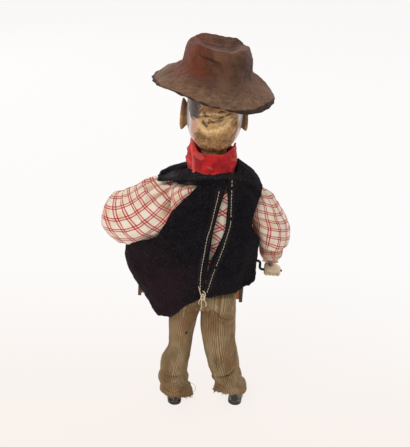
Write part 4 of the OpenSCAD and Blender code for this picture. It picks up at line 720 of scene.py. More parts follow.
def finish_cad_nodes():
    """Gives each CAD node its slot's material, and wears the edges of the rigid ones"""
    for row in frame["record"]["subparts"]:
        piece = frame["nodes"][row["node"]]
        piece.data.materials.clear()
        piece.data.materials.append(MATERIALS[row["material_slot"]])
        width = WORN_EDGES.get(row["material_slot"])
        if width:
            modify(piece, "WELD", merge_threshold=1e-6)
            modify(piece, "BEVEL", width=width * MM, segments=2, limit_method="ANGLE",
                angle_limit=math.radians(35), harden_normals=True)


def carry(piece, body, slot, *nodes):
    """Hangs the piece on what it rides on, and hides the CAD nodes it stands for; the slot it is finished as
    is not used
    """
    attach(piece, body)
    if nodes:
        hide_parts(*nodes)
    return piece


# Hat: dished crown and a brim that droops in waves
HAT_LEAN = math.radians(-3.5)
HAT_AT = np.array([1.9, 1.0, CROWN_FOOT_Z])
BRIM_R = 40.2
BRIM_DROP = 11.0
# Waves round the brim: how many, how high and turned by how many degrees
BRIM_WAVES = [(1, 3.1, 43), (2, 0.5, -111), (3, 1.3, 167), (4, 0.4, 150), (7, 0.25, 0)]
CROWN_FOOT_R = 23.5
CROWN_TOP_R = 20.0
CROWN_H = 18.2
CROWN_DISH = 4.5
FELT_T = 1.8
CROWN_CREASE = [(13.6, 273.8), (11.0, 272.6), (6.0, 271.6), (0.8, 270.1), (-2.4, 268.2)]
CROWN_VALLEY = [(12.6, 281.0), (13.4, 277.5), (13.0, 273.0)]


def hat_lean(points):
    x, y, z = np.moveaxis(points, -1, 0)
    c, s = math.cos(HAT_LEAN), math.sin(HAT_LEAN)
    return xyz(x * c + z * s, y, z * c - x * s) + HAT_AT


def hat_rings(a):
    long = 1 + 0.05 * np.sin(a) ** 2

    def crown_r(h):
        return mix(CROWN_FOOT_R, CROWN_TOP_R, ramp(-4, CROWN_H + 8, h) * 1.05)

    def ring(r, h):
        return xyz(r * np.cos(a), r * np.sin(a), h)

    def crown(share, h):
        return ring(crown_r(h) * long * share, h)

    def brim(s):
        degrees = np.degrees(a)
        wave = 0.5 + sum(size * np.cos(np.radians(times * degrees + turn)) for times, size, turn in BRIM_WAVES)
        wave = wave - 1.8 * bell((degrees + 35 + 180) % 360 - 180, 32) - 1.6 * bell(degrees - 208, 30)
        wave = wave - 0.9 * bell(degrees - 140, 26)
        edge = BRIM_R * (1 + 0.012 * np.cos(2 * a + math.radians(30)) + 0.008 * np.cos(5 * a))
        edge = edge + 0.8 * bell(degrees - 140, 26) - 1.8 * bell(degrees - 208, 26)
        edge = edge + 0.3 * np.cos(19 * a + 1) * np.cos(7 * a) + 0.2 * np.cos(31 * a)
        drop = BRIM_DROP * (0.35 * s + 0.65 * s**1.6)
        lift = wave * s - drop + FELT_T * 0.4 * (1 - ramp(0.96, 1, s))
        return ring(mix(CROWN_FOOT_R * long, edge, s), lift)

    low_corner = ramp(0.2, -0.95, np.cos(a))

    def top(share, h, drop):
        return crown(share - 0.02 * drop * low_corner, h - drop * low_corner)

    dish = [
        top(r, CROWN_H - CROWN_DISH * (1 - ramp(0.3, 0.86, r)), r * 1.2)
        for r in (0.02, 0.25, 0.5, 0.7, 0.82)]
    rim = [top(0.9, CROWN_H + 0.5, 1.0), top(0.965, CROWN_H - 0.3, 1.2), top(1.01, CROWN_H - 3.0, 1.2)]
    sides = [crown(1, CROWN_H * s) for s in (0.58, 0.38, 0.2, 0.1)]
    return dish + rim + sides + [brim(s) for s in (0.1, 0.4, 0.75, 0.96, 1)]


def make_hat():
    a = circle_angles(260)
    points = smooth_rows(hat_rings(a), 150)
    radius = np.hypot(points[..., 0], points[..., 1])
    height = points[..., 2]
    points = hat_lean(points)
    normals = grid_normals(points)
    dents = 0.55 * waves(points, 17, 1) + 0.16 * waves(points, 5, 2) + 0.07 * waves(points, 2, 3)
    x, z = points[..., 0], points[..., 2]
    behind = (normals[..., 1] > 0.2) & (height > 2)
    far, share = line_distance(x, z, CROWN_CREASE)
    ends = ramp(0, 0.25, share) * ramp(1, 0.7, share) * behind
    above = z - np.interp(-x, [-13.6, -6, 2.4], [273.8, 271.6, 268.2])
    crease = bell(far, 0.55) * ends
    overhang = bell(far - 1.4, 1.6) * (above > 0) * ends
    valley = bell(line_distance(x, z, CROWN_VALLEY)[0], 1.6) * behind
    valley = valley * ramp(CROWN_H + 0.2, CROWN_H - 3, height)
    points = points + normals * (dents + 0.55 * overhang - 0.8 * crease - 0.7 * valley)[..., None]
    edge = radius / BRIM_R
    # Painted highlight: a lighter line along the crest of the crown's near rim
    crest_highlight = bell(np.hypot(height - CROWN_H - 0.3, (radius - 0.92 * CROWN_TOP_R) * 0.6), 0.8)
    crest_highlight = crest_highlight * ramp(12, 4, np.abs(x + 2))
    marks = {
        # dark: darker at the brim's rim, with painted shade in the crown's crease and valley
        "dark": np.clip(ramp(0.975, 0.992, edge) * 0.85 + 0.8 * crease + 0.2 * valley, 0, 1),
        "pale": np.clip(
            0.85 * ramp(0.7, 0.95, edge) * ramp(0.99, 0.97, edge) + 0.25 * ramp(0.6, 0.7, edge), 0, 1),
        "crest_highlight": 1.2 * np.minimum(crest_highlight, 0.8) * (points[..., 1] > 0),
        "rust": ramp(2, 13, x) * ramp(0.95, 0.6, edge),
        "olive": bell(x + 12, 10) * bell(height - 4, 12),
    }
    hat = grid_piece("hat_shell", points, "hat_felt", marks=marks)
    thicken(hat, FELT_T)
    carry(hat, "head_body", "hat_felt", "hat")


# Head: bare worn composition behind, gloss paint at the sides and in front
HEAD_X = 1.0
HEAD_HALF_W = 18.5
BROW_H = 33.0
EYE_H = 26.5
NOSE_H = 17.5
MOUTH_H = 11.5
NECK_R = 8.6
# Height over the chin, share of the half width, and depth behind
HEAD_SECTIONS = [(0, 0.48, 9.5), (3, 0.63, 13), (8, 0.82, 17), (15, 0.96, 20.5), (24, 1, 22.5), (34, 1, 23),
    (44, 0.95, 22), (54, 0.85, 19), (72, 0.6, 12)]
HEAD_FRONTS = [(0, 15), (2, 17.5), (6, 18.4), (12, 17.8), (20, 18.4), (28, 18), (34, 19.4), (42, 19.6),
    (54, 17), (72, 11)]
BARE_LEFT = [(206, 7.0), (215, 11.2), (221, 11.6), (230, 11.0), (245, 10.4)]
BARE_RIGHT = [(206, 8.5), (215, 13.2), (222, 15.2), (232, 15.0), (245, 14.6)]
GOUGE_RIM = [(11.2, 234.7), (6.1, 236.3), (1.0, 237.0), (-4.1, 236.4), (-8.6, 235.0)]
BRIGHT_BAND = [(12.3, 231.2), (10.1, 226.8), (5.9, 223.4), (0.2, 224.6), (-6.1, 227.1), (-8.9, 231.6)]
DARK_SPOTS = [(-12.6, 232.4), (-12.9, 229.2), (9.8, 238), (11.4, 233), (-9, 236.6), (7.4, 236.2)]
CRACKS = [
    [(-0.8, 238.0), (-3.0, 238.5), (-6.3, 238.1)],
    [(-9.8, 236.9), (-6.8, 235.2), (-4.3, 234.1), (-0.8, 232.7)],
    [(9.6, 231.6), (8.4, 229.4), (6.2, 226.9), (4.6, 229.4), (5.6, 232.4)],
    [(5.6, 232.4), (2.4, 230.6), (0.2, 229.6)],
    [(10.4, 233.4), (6.5, 234.4), (2.2, 234.0)],
]


# Parts of the face: how far it stands out, how far to the side and how wide, at which height and how tall
FACE = {
    "wings of the nose": (1.0, 2.9, 1.3, NOSE_H + 0.8, 1.6),
    "nostrils": (-0.7, 1.7, 0.7, NOSE_H - 0.9, 0.7),
    "sockets": (-2.3, 7, 3.6, EYE_H, 3.2),
    "eyes": (1.5, 7, 2.5, EYE_H, 1.8),
    "upper lids": (-0.45, 7, 3.0, EYE_H + 2.3, 0.5),
    "lower lids": (-0.27, 7, 3.0, EYE_H - 2.1, 0.5),
    "brows": (0.9, 7, 5, BROW_H, 2.2),
    "upper lip": (1.5, 0, 4.8, MOUTH_H + 1.3, 1.1),
    "lower lip": (1.575, 0, 4.8, MOUTH_H - 1.4, 1.2),
    "mouth": (-0.7, 0, 5, MOUTH_H, 0.5),
    "chin": (1.6, 0, 4.5, 3.4, 3),
    "cheeks": (0.8, 10, 4, NOSE_H, 6),
}


def face_relief(x, h):
    """How far the face stands out from the plain head"""
    side = np.abs(x)
    nose = 5.2 * bell(x, 2.4 + 1.2 * ramp(NOSE_H + 7, NOSE_H, h))
    nose = nose * ramp(NOSE_H - 1.8, NOSE_H + 0.4, h) * ramp(EYE_H + 5, NOSE_H + 2, h)
    return nose + sum(
        out * bell(side - aside, wide) * bell(h - level, tall)
        for out, aside, wide, level, tall in FACE.values())


def head_grid():
    turn = circle_angles(320)
    a = turn + math.radians(24) * np.cos(turn)
    h = np.concatenate([np.linspace(0, 40, 150), np.linspace(40.5, 62, 30)])[:, None]
    across = HEAD_HALF_W * curve(HEAD_SECTIONS, h) * soft_cos(a, 2.25)
    deep = np.where(np.sin(a) > 0, curve(HEAD_SECTIONS, h, 2), curve(HEAD_FRONTS, h)) * soft_sin(a, 2.25)
    relief = np.where(np.sin(a) < 0, face_relief(across, h) * ramp(0, 0.5, -np.sin(a)), 0)
    levels = np.linspace(SHOULDER_Z + 13.5, CHIN_Z - 1.2, 10)[:, None]
    neck = xyz(NECK_R * np.cos(a), HEAD_Y + NECK_R * np.sin(a), levels)
    return np.concatenate([neck, xyz(HEAD_X + across, HEAD_Y + deep - relief, CHIN_Z + h)])


def head_scars(points, behind):
    """Gouge, cracks and bright wood on the back of the head, each from 0 to 1"""
    x, _, z = np.moveaxis(points, -1, 0)
    crack_and_shade = np.zeros_like(x)
    for line in CRACKS:
        far, share = line_distance(x, z, line)
        width = 0.5 + 0.22 * waves(points, 3, 13)
        crack_and_shade = np.maximum(crack_and_shade, bell(far, width) * ramp(0, 0.2, share) * ramp(1, 0.75, share))
    middle = np.interp(-x, [-12, -5, 0, 5, 10], [232.5, 230.6, 231.2, 233.2, 235.2])
    gouge = ramp(1.15, 0.75, np.hypot((x - 1.4) / 10.5, (z - middle) / 3.9))
    rim = bell(line_distance(x, z, GOUGE_RIM)[0], 1.0) * ramp(-11, -6, x)
    band = bell(line_distance(x, z, BRIGHT_BAND)[0] + 0.5 * waves(points, 4, 19), 2.0)
    return [share * behind for share in (crack_and_shade, gouge, rim, band)]


def make_head():
    points = head_grid()
    x, y, z = np.moveaxis(points, -1, 0)
    h = z - CHIN_Z
    normals = grid_normals(points)
    behind = ramp(2, 9, y)
    side = np.abs(x - HEAD_X)
    bare_edge = np.where(x > HEAD_X, curve(BARE_LEFT, z), curve(BARE_RIGHT, z))
    bare_edge = bare_edge + 1.0 * waves(points, 7, 11) + 0.45 * waves(points, 2.4, 12)
    painted = 1 - ramp(-0.5, 0.5, bare_edge - side) * behind
    crack_and_shade, gouge, rim, band = head_scars(points, behind)
    facets = waves(points * [0.5, 1, 1.6] + [0, 0, 0.4] * x[..., None], 5.5, 14)
    carved = 1.1 * gouge * (1 + 0.5 * facets) + 0.25 * band - 0.45 * rim
    rough = (0.2 * waves(points, 3, 15) + 0.12 * waves(points, 1.3, 16)) * (1 - painted)
    step = 0.3 * painted * ramp(0, 4, y)
    points = points + normals * (step + rough - carved * (1 - painted) - 0.8 * crack_and_shade)[..., None]
    speckle = 0.5 * waves(points, 2, 20)
    spots = sum(bell(np.hypot(x - at_x, z - at_z) + speckle, 1.0) for at_x, at_z in DARK_SPOTS) * behind
    front = ramp(-2, -8, y)
    eye = np.hypot((side - 7) / 3.1, (h - EYE_H) / (1.25 + 0.2 * (side < 7)))
    iris = np.hypot(side - 6.8, h - EYE_H - 0.1)
    lid_line = bell(np.hypot((side - 7) / 3.3, (h - EYE_H) / 1.75) - 1, 0.14) * (h > EYE_H)
    brow = bell(h - BROW_H + 0.03 * (side - 7) ** 2, 0.9) * ramp(2.6, 4, side) * ramp(12.5, 10.5, side)
    burn = ramp(12.5, 14.5, side) * ramp(-9, -5, y) * ramp(27, 31, h)
    patch_edge = 0.12 * waves(points, 4, 17)
    patch = ramp(-0.12, 0.12, 1 + patch_edge - np.hypot((x - 14.2) / 3.9, (z - 239) / 8.6)) * behind
    cap = ramp(37.5, 39.5, h + 0.8 * waves(points, 5, 17)) * (1 - behind)
    hair = np.clip(np.maximum.reduce([burn * (1 - behind), cap, patch, 0.85 * brow * front]), 0, 1)
    marks = {
        "painted": np.maximum(painted, 0.85 * patch),
        "crack_and_shade": np.clip(crack_and_shade + 0.6 * gouge * ramp(-0.1, 0.6, -facets) * (1 - band) + spots, 0, 1),
        "bright": np.clip(0.95 * band + 0.7 * rim + 0.5 * gouge, 0, 1),
        "speckled": ramp(226, 218, z) * behind,
        # Painted reflection of the pale surroundings on the gloss at the head's far sides
        "side_reflection": ramp(-4, 4, y) * ramp(214, 219, z) * ramp(14.2, 15.6, side),
        "cheek": np.maximum(bell(side - 10, 4) * bell(h - NOSE_H - 1, 4.5) * front,
            bell(side - 13, 2.6) * bell(z - 224, 10) * behind),
        "lip": bell(x - HEAD_X, 4.4) * ramp(0.45, 0.8, bell(h - MOUTH_H, 2.2)) * front * ramp(5.6, 4.4, side),
        "eye_white": ramp(1.06, 0.94, eye) * front,
        "iris": np.clip(ramp(1.35, 1.15, iris) * ramp(1.06, 0.94, eye) + 0.8 * lid_line, 0, 1) * front,
        "hair": hair,
    }
    head = grid_piece("head_shell", points, "head_composition", marks=marks, capped=True)
    carry(head, "head_body", "head_composition", "head")
    make_ear("left_ear", 1, HEAD_X + 20.2, CHIN_Z + 21.5, 11.0, 14)
    make_ear("right_ear", -1, HEAD_X - 19.6, CHIN_Z + 20.5, 7.6, 12)


def make_ear(name, side, at_x, at_z, half_h, lean_degrees):
    """Ear that flares from the side of the head to a rolled rim, hollow inside"""
    profile = [(0.5, -4.4), (0.66, -2.0), (0.86, -0.4), (0.98, 0.7), (1.0, 1.3), (0.94, 1.7), (0.86, 1.2),
        (0.74, 0.3), (0.6, 0.5), (0.42, -0.2), (0.2, -0.6), (0.04, -0.7)]
    rows = through(range(len(profile)), np.array(profile), np.linspace(0, len(profile) - 1, 56))
    r, out = rows[:, :1], rows[:, 1:]
    a = circle_angles(64)
    y = 4.9 * r * np.cos(a) * (1 - 0.18 * np.sin(a))
    z = half_h * r * np.sin(a) * (1 + 0.08 * np.sin(a))
    lean = math.radians(lean_degrees) * side
    c, s = math.cos(lean), math.sin(lean)
    across = side * out
    points = xyz(across * c + y * s, y * c - across * s, z) + [at_x, HEAD_Y + 1.8, at_z]
    bare = ramp(-1.0, 1.2, y + 0.6 * waves(points, 3, 18))
    # The inner part of the ear, its hollow and its root by the head, is darkened as painted shade
    ear = grid_piece(name, points, "head_composition", capped=True,
        marks={"painted": 0.9 * (1 - bare), "crack_and_shade": 0.7 * ramp(1.0, 0.86, r)})
    subdivide(ear)
    recalculate_normals(ear)
    carry(ear, "head_body", "head_composition")


# Neckerchief: cloth wound round the neck, standing against the jaw
KERCHIEF_FOOT_Z = SHOULDER_Z + 7
KERCHIEF_R = 16.6
KERCHIEF_X = 1.1
KERCHIEF_FOLD = [(15.6, 214), (14.3, 206), (13.3, 199), (12.0, 190.5)]


def make_neckerchief():
    a = circle_angles(280)
    s = np.linspace(0, 1, 64)[:, None]
    corners = 2.6 * bell(a - math.radians(20), 0.24) - 0.5 * bell(a - math.radians(155), 0.26)
    lift = 19.5 - 4.5 * ramp(0.4, 0.9, np.sin(a)) - 5.5 * ramp(-0.05, 0.45, -np.sin(a)) + 3.0 * corners
    out = KERCHIEF_R + curve([(0, -0.8), (0.2, 0.3), (0.6, 0), (1, -1.6)], s) - 0.4 * corners * s
    out = out + 0.5 * np.cos(4 * a + 2.8 * s) * np.sin(math.pi * s)
    out = out + 0.4 * np.cos(3 * a - 0.7) * bell(s - 0.3, 0.25)
    foot = mix(-3.0, 2.0, ramp(0.4, 0.85, np.sin(a)))
    points = xyz(
        KERCHIEF_X + out * np.cos(a), HEAD_Y + 0.6 + out * np.sin(a),
        KERCHIEF_FOOT_Z + lift * s + foot * ramp(0.14, 0, s))
    x, y, z = np.moveaxis(points, -1, 0)
    normals = grid_normals(points)
    far, _ = line_distance(x, z, KERCHIEF_FOLD)
    behind = ramp(0, 5, y)
    fold = bell(far, 0.9) * behind
    left_of = ramp(-0.4, 0.8, x - np.interp(z, [190.5, 199, 206, 214], [12.0, 13.3, 14.3, 15.6])) * behind
    slanted = xyz(x * 0.35 + z * 0.25, y * 0.4, z * 1.3 - x * 0.5)
    wrinkles = 0.34 * waves(slanted, 7, 21) + 0.16 * waves(slanted, 3, 22)
    roll = 0.35 * bell(s - 0.97, 0.03) + 0.3 * bell(s - 0.04, 0.04)
    points = points + normals * (0.9 * fold - 0.5 * left_of + wrinkles + roll)[..., None]
    cloth = tube_cloth(points, 1.0)
    # ridge: painted highlight on the fold behind, the wrinkles' crests and the rolled edges
    marks = {"ridge": np.clip(fold + ramp(0.5, 1.1, waves(slanted, 7, 21)) * 0.5 + 0.4 * roll * 2, 0, 1)}
    band = grid_piece("neckerchief_band", points, "red_cloth", cloth=cloth, marks=marks)
    thicken(band, 1.0)
    carry(band, "root", "red_cloth", "neckerchief")
    knot = make_kerchief_knot()


def make_kerchief_knot():
    """Knot under the chin with its two pointed ends, each a folded strip"""
    knot_at = np.array([KERCHIEF_X, HEAD_Y - KERCHIEF_R - 1.4, KERCHIEF_FOOT_Z + 5])
    grids = []
    t = np.linspace(0, math.pi, 22)[:, None]
    w = circle_angles(40)
    r = 3.0 * np.sin(t) ** 0.7
    pleat = 1 + 0.07 * np.cos(5 * w + 1) + 0.05 * np.cos(9 * w)
    grids.append(knot_at + xyz(-4.4 * np.cos(t), r * pleat * np.cos(w), r * pleat * np.sin(w)))
    for side in (-1, 1):
        s = np.linspace(0, 1, 30)[:, None]
        wide = mix(1.3, 4.6, s**0.8) * (1 - ramp(0.86, 1.02, s) * 0.75)
        pleats = 0.5 * np.cos(3 * w + 4 * s) * (1 - s)
        x = side * mix(1.4, 5.0, s) + wide * np.cos(w)
        y = -3.4 * s**0.7 + 0.75 * np.sin(w) + pleats
        z = -13.5 * s + 0.8 * np.cos(w) * side
        grids.append(knot_at + xyz(x, y, z))
    meshes = []
    for grid in grids:
        meshes.append((grid.reshape(-1, 3), ring_faces(*grid.shape[:2])))
    points, faces = joined(meshes)
    knot = make_object("neckerchief_knot", points, faces, "red_cloth")
    add_mark(knot, "ridge", 0.3 * ramp(0.2, 1, waves(points, 3, 23)))
    recalculate_normals(knot)
    return carry(knot, "root", "red_cloth")


def recalculate_normals(piece):
    shape = bmesh.new()
    shape.from_mesh(piece.data)
    bmesh.ops.recalc_face_normals(shape, faces=shape.faces)
    shape.to_mesh(piece.data)
    shape.free()


# Waistcoat: one piece of felt, slit up the back, hung from the neck
# Half widths, depths and lifts are by the drop from its top, and the hem's height is by degrees round it
COAT_N = 2.4
COAT_T = 1.6
COAT_D = 22.0
COAT_TOP_Z = SHOULDER_Z + 4
COAT_LEFT = [(0, 17.2), (2, 25.5), (4, 31), (6.5, 35.4), (10, 37.2), (20, 38.5), (34, 43.5), (46, 51),
    (58, 57), (68, 56.2), (80, 51.3), (92, 44.5), (107, 39.5)]
COAT_RIGHT = [(0, 17.8), (2, 24), (4, 28), (7, 32), (12, 35), (20, 35.8), (48, 35.6), (78, 34.5), (104, 33)]
COAT_DEEP = [(0, 0.62), (2, 0.72), (4, 0.82), (7, 0.91), (12, 0.98), (18, 1), (60, 1.03), (104, 1.06)]
COAT_LIFT_LEFT = [(0, 0.2), (2, 0.9), (6, 3), (20, 0)]
COAT_LIFT_RIGHT = [(0, 8), (2, 6.4), (4, 5.6), (7, 4.6), (12, 4.5), (22, 0)]
COLLAR_H = 2.6
COAT_HEM = [(0, 15.4), (12, 7), (25, -2.6), (37, -5), (50, -4), (63, 2), (90, 14), (130, 24), (180, 25),
    (230, 24), (280, 24), (300, 22), (325, 18), (345, 17), (360, 15.4)]
SLIT_FOOT = (0.2, HIP_Z + 15.4)
SLIT_MIDDLE = [(103, 0.2), (120, -1.2), (132, -2.5), (141, -4.4), (150, -6.5), (158, -7.8), (168, -8.8),
    (180, -9.9), (200, -10.8)]
SLIT_GAP = [(103, 0), (118, 0), (126, 0.35), (134, 0.9), (144, 2.4), (154, 3.6), (164, 3.0), (174, 2.1),
    (181, 0.9), (186, 0), (200, 0)]
STITCHES_LEFT = [(-5.6, 183), (-2.9, 166.4), (-1.5, 157), (0.2, 149.4), (1.8, 135), (3, 120.4), (2.6, 110)]
STITCHES_RIGHT = [(-13.5, 189), (-14.1, 173.6), (-14.6, 159.9), (-12.6, 148.5), (-10, 137.8), (-6.5, 126),
    (-2.2, 108)]
YOKE = [(34, 181.5), (28, 184.5), (19.6, 187), (8.9, 188.5), (-1.8, 189.5), (-14.2, 190.5), (-22, 187.5),
    (-29.8, 183.6), (-36, 178)]
OPENING_TOP = [(9, 0.6), (20, 0.9), (30, -0.5), (46, -3.5), (80, -20)]
OPENING_BEHIND = [(80, -49.5), (59, -49.5), (48, -46), (35, -40), (29.5, -29), (25, -18.5), (17, -8.5)]
OPENING_IN_FRONT = [(80, -64), (42, -64), (31, -52), (27, -38), (22, -24), (14, -12)]


def slit_mid(z):
    return curve(SLIT_MIDDLE, z)


def slit_gap(z):
    return 0.12 + np.maximum(0, curve(SLIT_GAP, z))


def coat_points(u, s):
    """Outside of the felt, u from one side of the slit round to the other and s from neck to hem"""
    rough = mix(COAT_TOP_Z, HIP_Z + curve(COAT_HEM, 360 * u), s)
    drop = COAT_TOP_Z - rough
    left, right = curve(COAT_LEFT, drop), curve(COAT_RIGHT, drop)
    mid, gap = slit_mid(rough), slit_gap(rough)

    def slit_angle(x):
        half = np.where(x > 0, left, right)
        return np.sign(x) * np.arcsin(np.minimum(1, np.abs(x) / half) ** (COAT_N / 2))

    a = mix(slit_angle(mid + gap), FULL + slit_angle(mid - gap), u)
    fold = s * (1.1 * np.cos(5 * a + 0.52) + 0.8 * np.cos(9 * a - 1.05 * s)) * ramp(0.2, 0.9, s)
    on_left = np.sin(a) > 0
    lift = np.where(on_left, curve(COAT_LIFT_LEFT, drop), curve(COAT_LIFT_RIGHT, drop))
    lift = lift * ramp(0.84, 0.97, np.abs(np.sin(a)))
    lift = lift + (COLLAR_H + 2.2 * ramp(0.3, 0.9, np.cos(a))) * ramp(7, 0, drop)
    wide = np.where(on_left, left, right) + fold * np.abs(np.sin(a))
    back = np.cos(a) > 0
    deep = COAT_D * curve(COAT_DEEP, drop) * np.where(back, 1, mix(1, 0.93, ramp(10, 60, drop)))
    deep = deep + np.where(back, fold, 0)
    return xyz(wide * soft_sin(a, COAT_N), TORSO_Y + deep * soft_cos(a, COAT_N), rough + lift)


def inside(x, z, outline):
    """Whether points lie inside an outline of (x, z)"""
    hit = np.zeros(np.shape(x), bool)
    for (x0, z0), (x1, z1) in zip(outline, outline[1:] + outline[:1]):
        if z0 != z1:
            hit ^= ((z0 > z) != (z1 > z)) & (x < (x1 - x0) * (z - z0) / (z1 - z0) + x0)
    return hit


def cut_openings(piece):
    """Cuts the armholes out of the felt and lays their edges on the openings' outlines"""
    shoulder = np.array([0, SHOULDER_Z])
    behind = [tuple(np.array(p) + shoulder) for p in OPENING_TOP + OPENING_BEHIND]
    in_front = [tuple(np.array(p) + shoulder) for p in OPENING_TOP + OPENING_IN_FRONT]
    angles = circle_angles(48)
    right = list(zip(17.5 * np.cos(angles), SHOULDER_Z - 22 + 21.5 * np.sin(angles)))

    def outline_at(p):
        if p[0] < -23:
            return right, 1
        return (behind if p[1] > TORSO_Y else in_front), 0

    shape = bmesh.new()
    shape.from_mesh(piece.data)
    gone = []
    for face in shape.faces:
        p = np.array(face.calc_center_median()) / MM - AXIS
        outline, across = outline_at(p)
        if inside(p[across], p[2], outline):
            gone.append(face)
    bmesh.ops.delete(shape, geom=gone, context="FACES")
    for vert in shape.verts:
        p = np.array(vert.co) / MM - AXIS
        outline, across = outline_at(p)
        if vert.is_boundary and 0 < COAT_TOP_Z + 12 - p[2]:
            line = np.array(outline + outline[:1])
            far, share = line_distance(p[across], p[2], [tuple(q) for q in line])
            if far < 1.6:
                place = share * (len(line) - 1)
                near = [np.interp(place, range(len(line)), line[:, k]) for k in (0, 1)]
                p[across], p[2] = near
                vert.co = Vector((p + AXIS) * MM)
    shape.to_mesh(piece.data)
    shape.free()


def make_waistcoat():
    u, s = np.meshgrid(np.linspace(0, 1, 330), np.linspace(0, 1, 150) ** 1.15)
    points = coat_points(u, s)
    x, y, z = np.moveaxis(points, -1, 0)
    normals = grid_normals(points, False)
    edge_far = np.minimum(u, 1 - u) * 330
    behind = ramp(6, 14, y)
    from_slit = np.abs(x - slit_mid(z)) - slit_gap(z)
    from_stitches = np.minimum(*[line_distance(x, z, line)[0] for line in (STITCHES_LEFT, STITCHES_RIGHT)])
    hem = 0.45 * bell(from_slit - 1.2, 1.3)
    hem = hem + 0.35 * bell(from_stitches - 1.3, 0.9) - 0.5 * bell(from_stitches, 0.5)
    strap = ramp(10, 16, x) * ramp(SHOULDER_Z - 6, SHOULDER_Z, z)
    far, _ = line_distance(x, z, YOKE)
    above = z > np.interp(-x, [-p[0] for p in YOKE], [p[1] for p in YOKE])
    yoke = (0.6 * np.where(above, 1 - bell(far, 1.0), 0) - 0.5 * bell(far, 0.8)) * behind
    relief = 0.5 * waves(points, 26, 31) + 0.22 * waves(points, 8, 32) + 0.1 * waves(points, 2.6, 33)
    strap_folds = waves(points * [0.4, 1, 1.6], 9, 34)
    relief = relief + hem * behind * ramp(0, 0.05, s) + 0.9 * strap * strap_folds + yoke
    points = points + normals * (relief * (0.3 + 0.7 * ramp(0, 6, edge_far)))[..., None]
    points[..., 2] += 0.35 * waves(points, 3.5, 35) * ramp(0.985, 1, s)
    marks = {
        "warm": ramp(4, 24, x) * ramp(150, 112, z),
        # worn: wear at the hem's edge, and painted highlight on the strap's raised folds, the rolls beside the
        # stitches and the band above the yoke
        "worn": np.clip(
            0.7 * strap * ramp(0.2, 0.9, waves(points * [0.4, 1, 1.6], 9, 34)) + 0.5 * ramp(0.985, 1, s)
            + 0.25 * bell(from_stitches - 1.3, 0.6) * behind + 0.3 * above * behind, 0, 1),
    }
    coat = grid_piece("waistcoat_felt", points, "navy_felt", closed=False, marks=marks)
    cut_openings(coat)
    thicken(coat, COAT_T)
    carry(coat, "root", "navy_felt", "waistcoat")
    tree = tree_of(coat)
    stitches = make_stitches(tree)
    tie = make_tie(tree)


def make_stitches(tree):
    """Running stitches in light thread beside the slit and at its sides"""
    rng = np.random.default_rng(41)
    lines = []
    for line in (STITCHES_LEFT, STITCHES_RIGHT):
        places, heights = np.array(line)[::-1].T
        z = heights[0]
        while z < heights[-1]:
            stitch = []
            for share, proud in ((0, -0.15), (0.2, 0.16), (0.5, 0.26), (0.8, 0.16), (1, -0.15)):
                at = z + share * 1.45
                point = on_back(tree, through(heights, places, at) + rng.normal(0, 0.05), at, proud)
                if point is not None:
                    stitch.append(point)
            if len(stitch) == 5 and rng.random() > 0.06:
                lines.append(stitch)
            z += 2.05 + rng.normal(0, 0.12)
    return carry(tubes_piece("slit_stitches", lines, 0.2, "thread", 6), "root", "thread")


def make_tie(tree):
    """Knotted thread that closes the slit's foot"""
    rng = np.random.default_rng(42)
    foot = on_back(tree, SLIT_FOOT[0] + 1.2, SLIT_FOOT[1] + 2.0, 0.9)
    knot = np.array([SLIT_FOOT[0] + 0.2, foot[1] + 0.6, SLIT_FOOT[1] + 1.4])
    lines = []
    for _ in range(5):
        turn = rng.uniform(0, FULL)
        t = np.linspace(0, FULL, 26)
        tilt = rng.normal(0, 0.6)
        loop = xyz(
            1.25 * np.cos(t + turn), 0.75 * np.sin(2 * t + turn), 1.25 * np.sin(t + turn) + tilt * np.cos(t))
        lines.append(knot + loop * rng.uniform(0.8, 1.1))
    ends = [
        [(0.4, 0.2, 0.6), (1.6, 0.9, 3), (2.6, 1.0, 6.2), (3.4, 0.6, 8.8)],
        [(-0.6, 0.3, 0.4), (-1.6, 0.8, 2), (-1.2, 0.9, 4.4), (0.4, 0.7, 5.6)],
        [(0.2, 0.2, -0.8), (0.9, 0.8, -3.4), (0.5, 0.9, -6.4), (1.0, 0.5, -9.2)],
        [(-0.4, 0.2, -0.6), (-1.6, 0.8, -2.4), (-2.6, 0.8, -4.2), (-2.4, 0.4, -6.8)],
        [(0.6, 0.2, -0.4), (2.0, 0.7, -1.6), (2.6, 0.9, -3.4), (2.1, 0.6, -5.2)],
    ]
    for end in ends:
        lines.append(knot + through(range(4), end, np.linspace(0, 3, 18)))
    tie = tubes_piece("tie_thread", lines, 0.3, "thread")
    return carry(tie, "root", "thread", "waistcoat_tie")


# Shirt, seen through the slit and the armholes
SHIRT_ROOM = 3.4
TORSO_HALVES = [(0, 0.8), (0.25, 0.72), (0.55, 0.88), (0.8, 1), (0.9, 0.97), (0.96, 0.8), (1, 0.42)]


def torso_ring(a, z, grow):
    half = TORSO_HALF_W * curve(TORSO_HALVES, (z - HIP_Z) / 96) + grow
    return half * soft_cos(a, 3.2), TORSO_Y + (TORSO_HALF_D + grow) * soft_sin(a, 3.2)


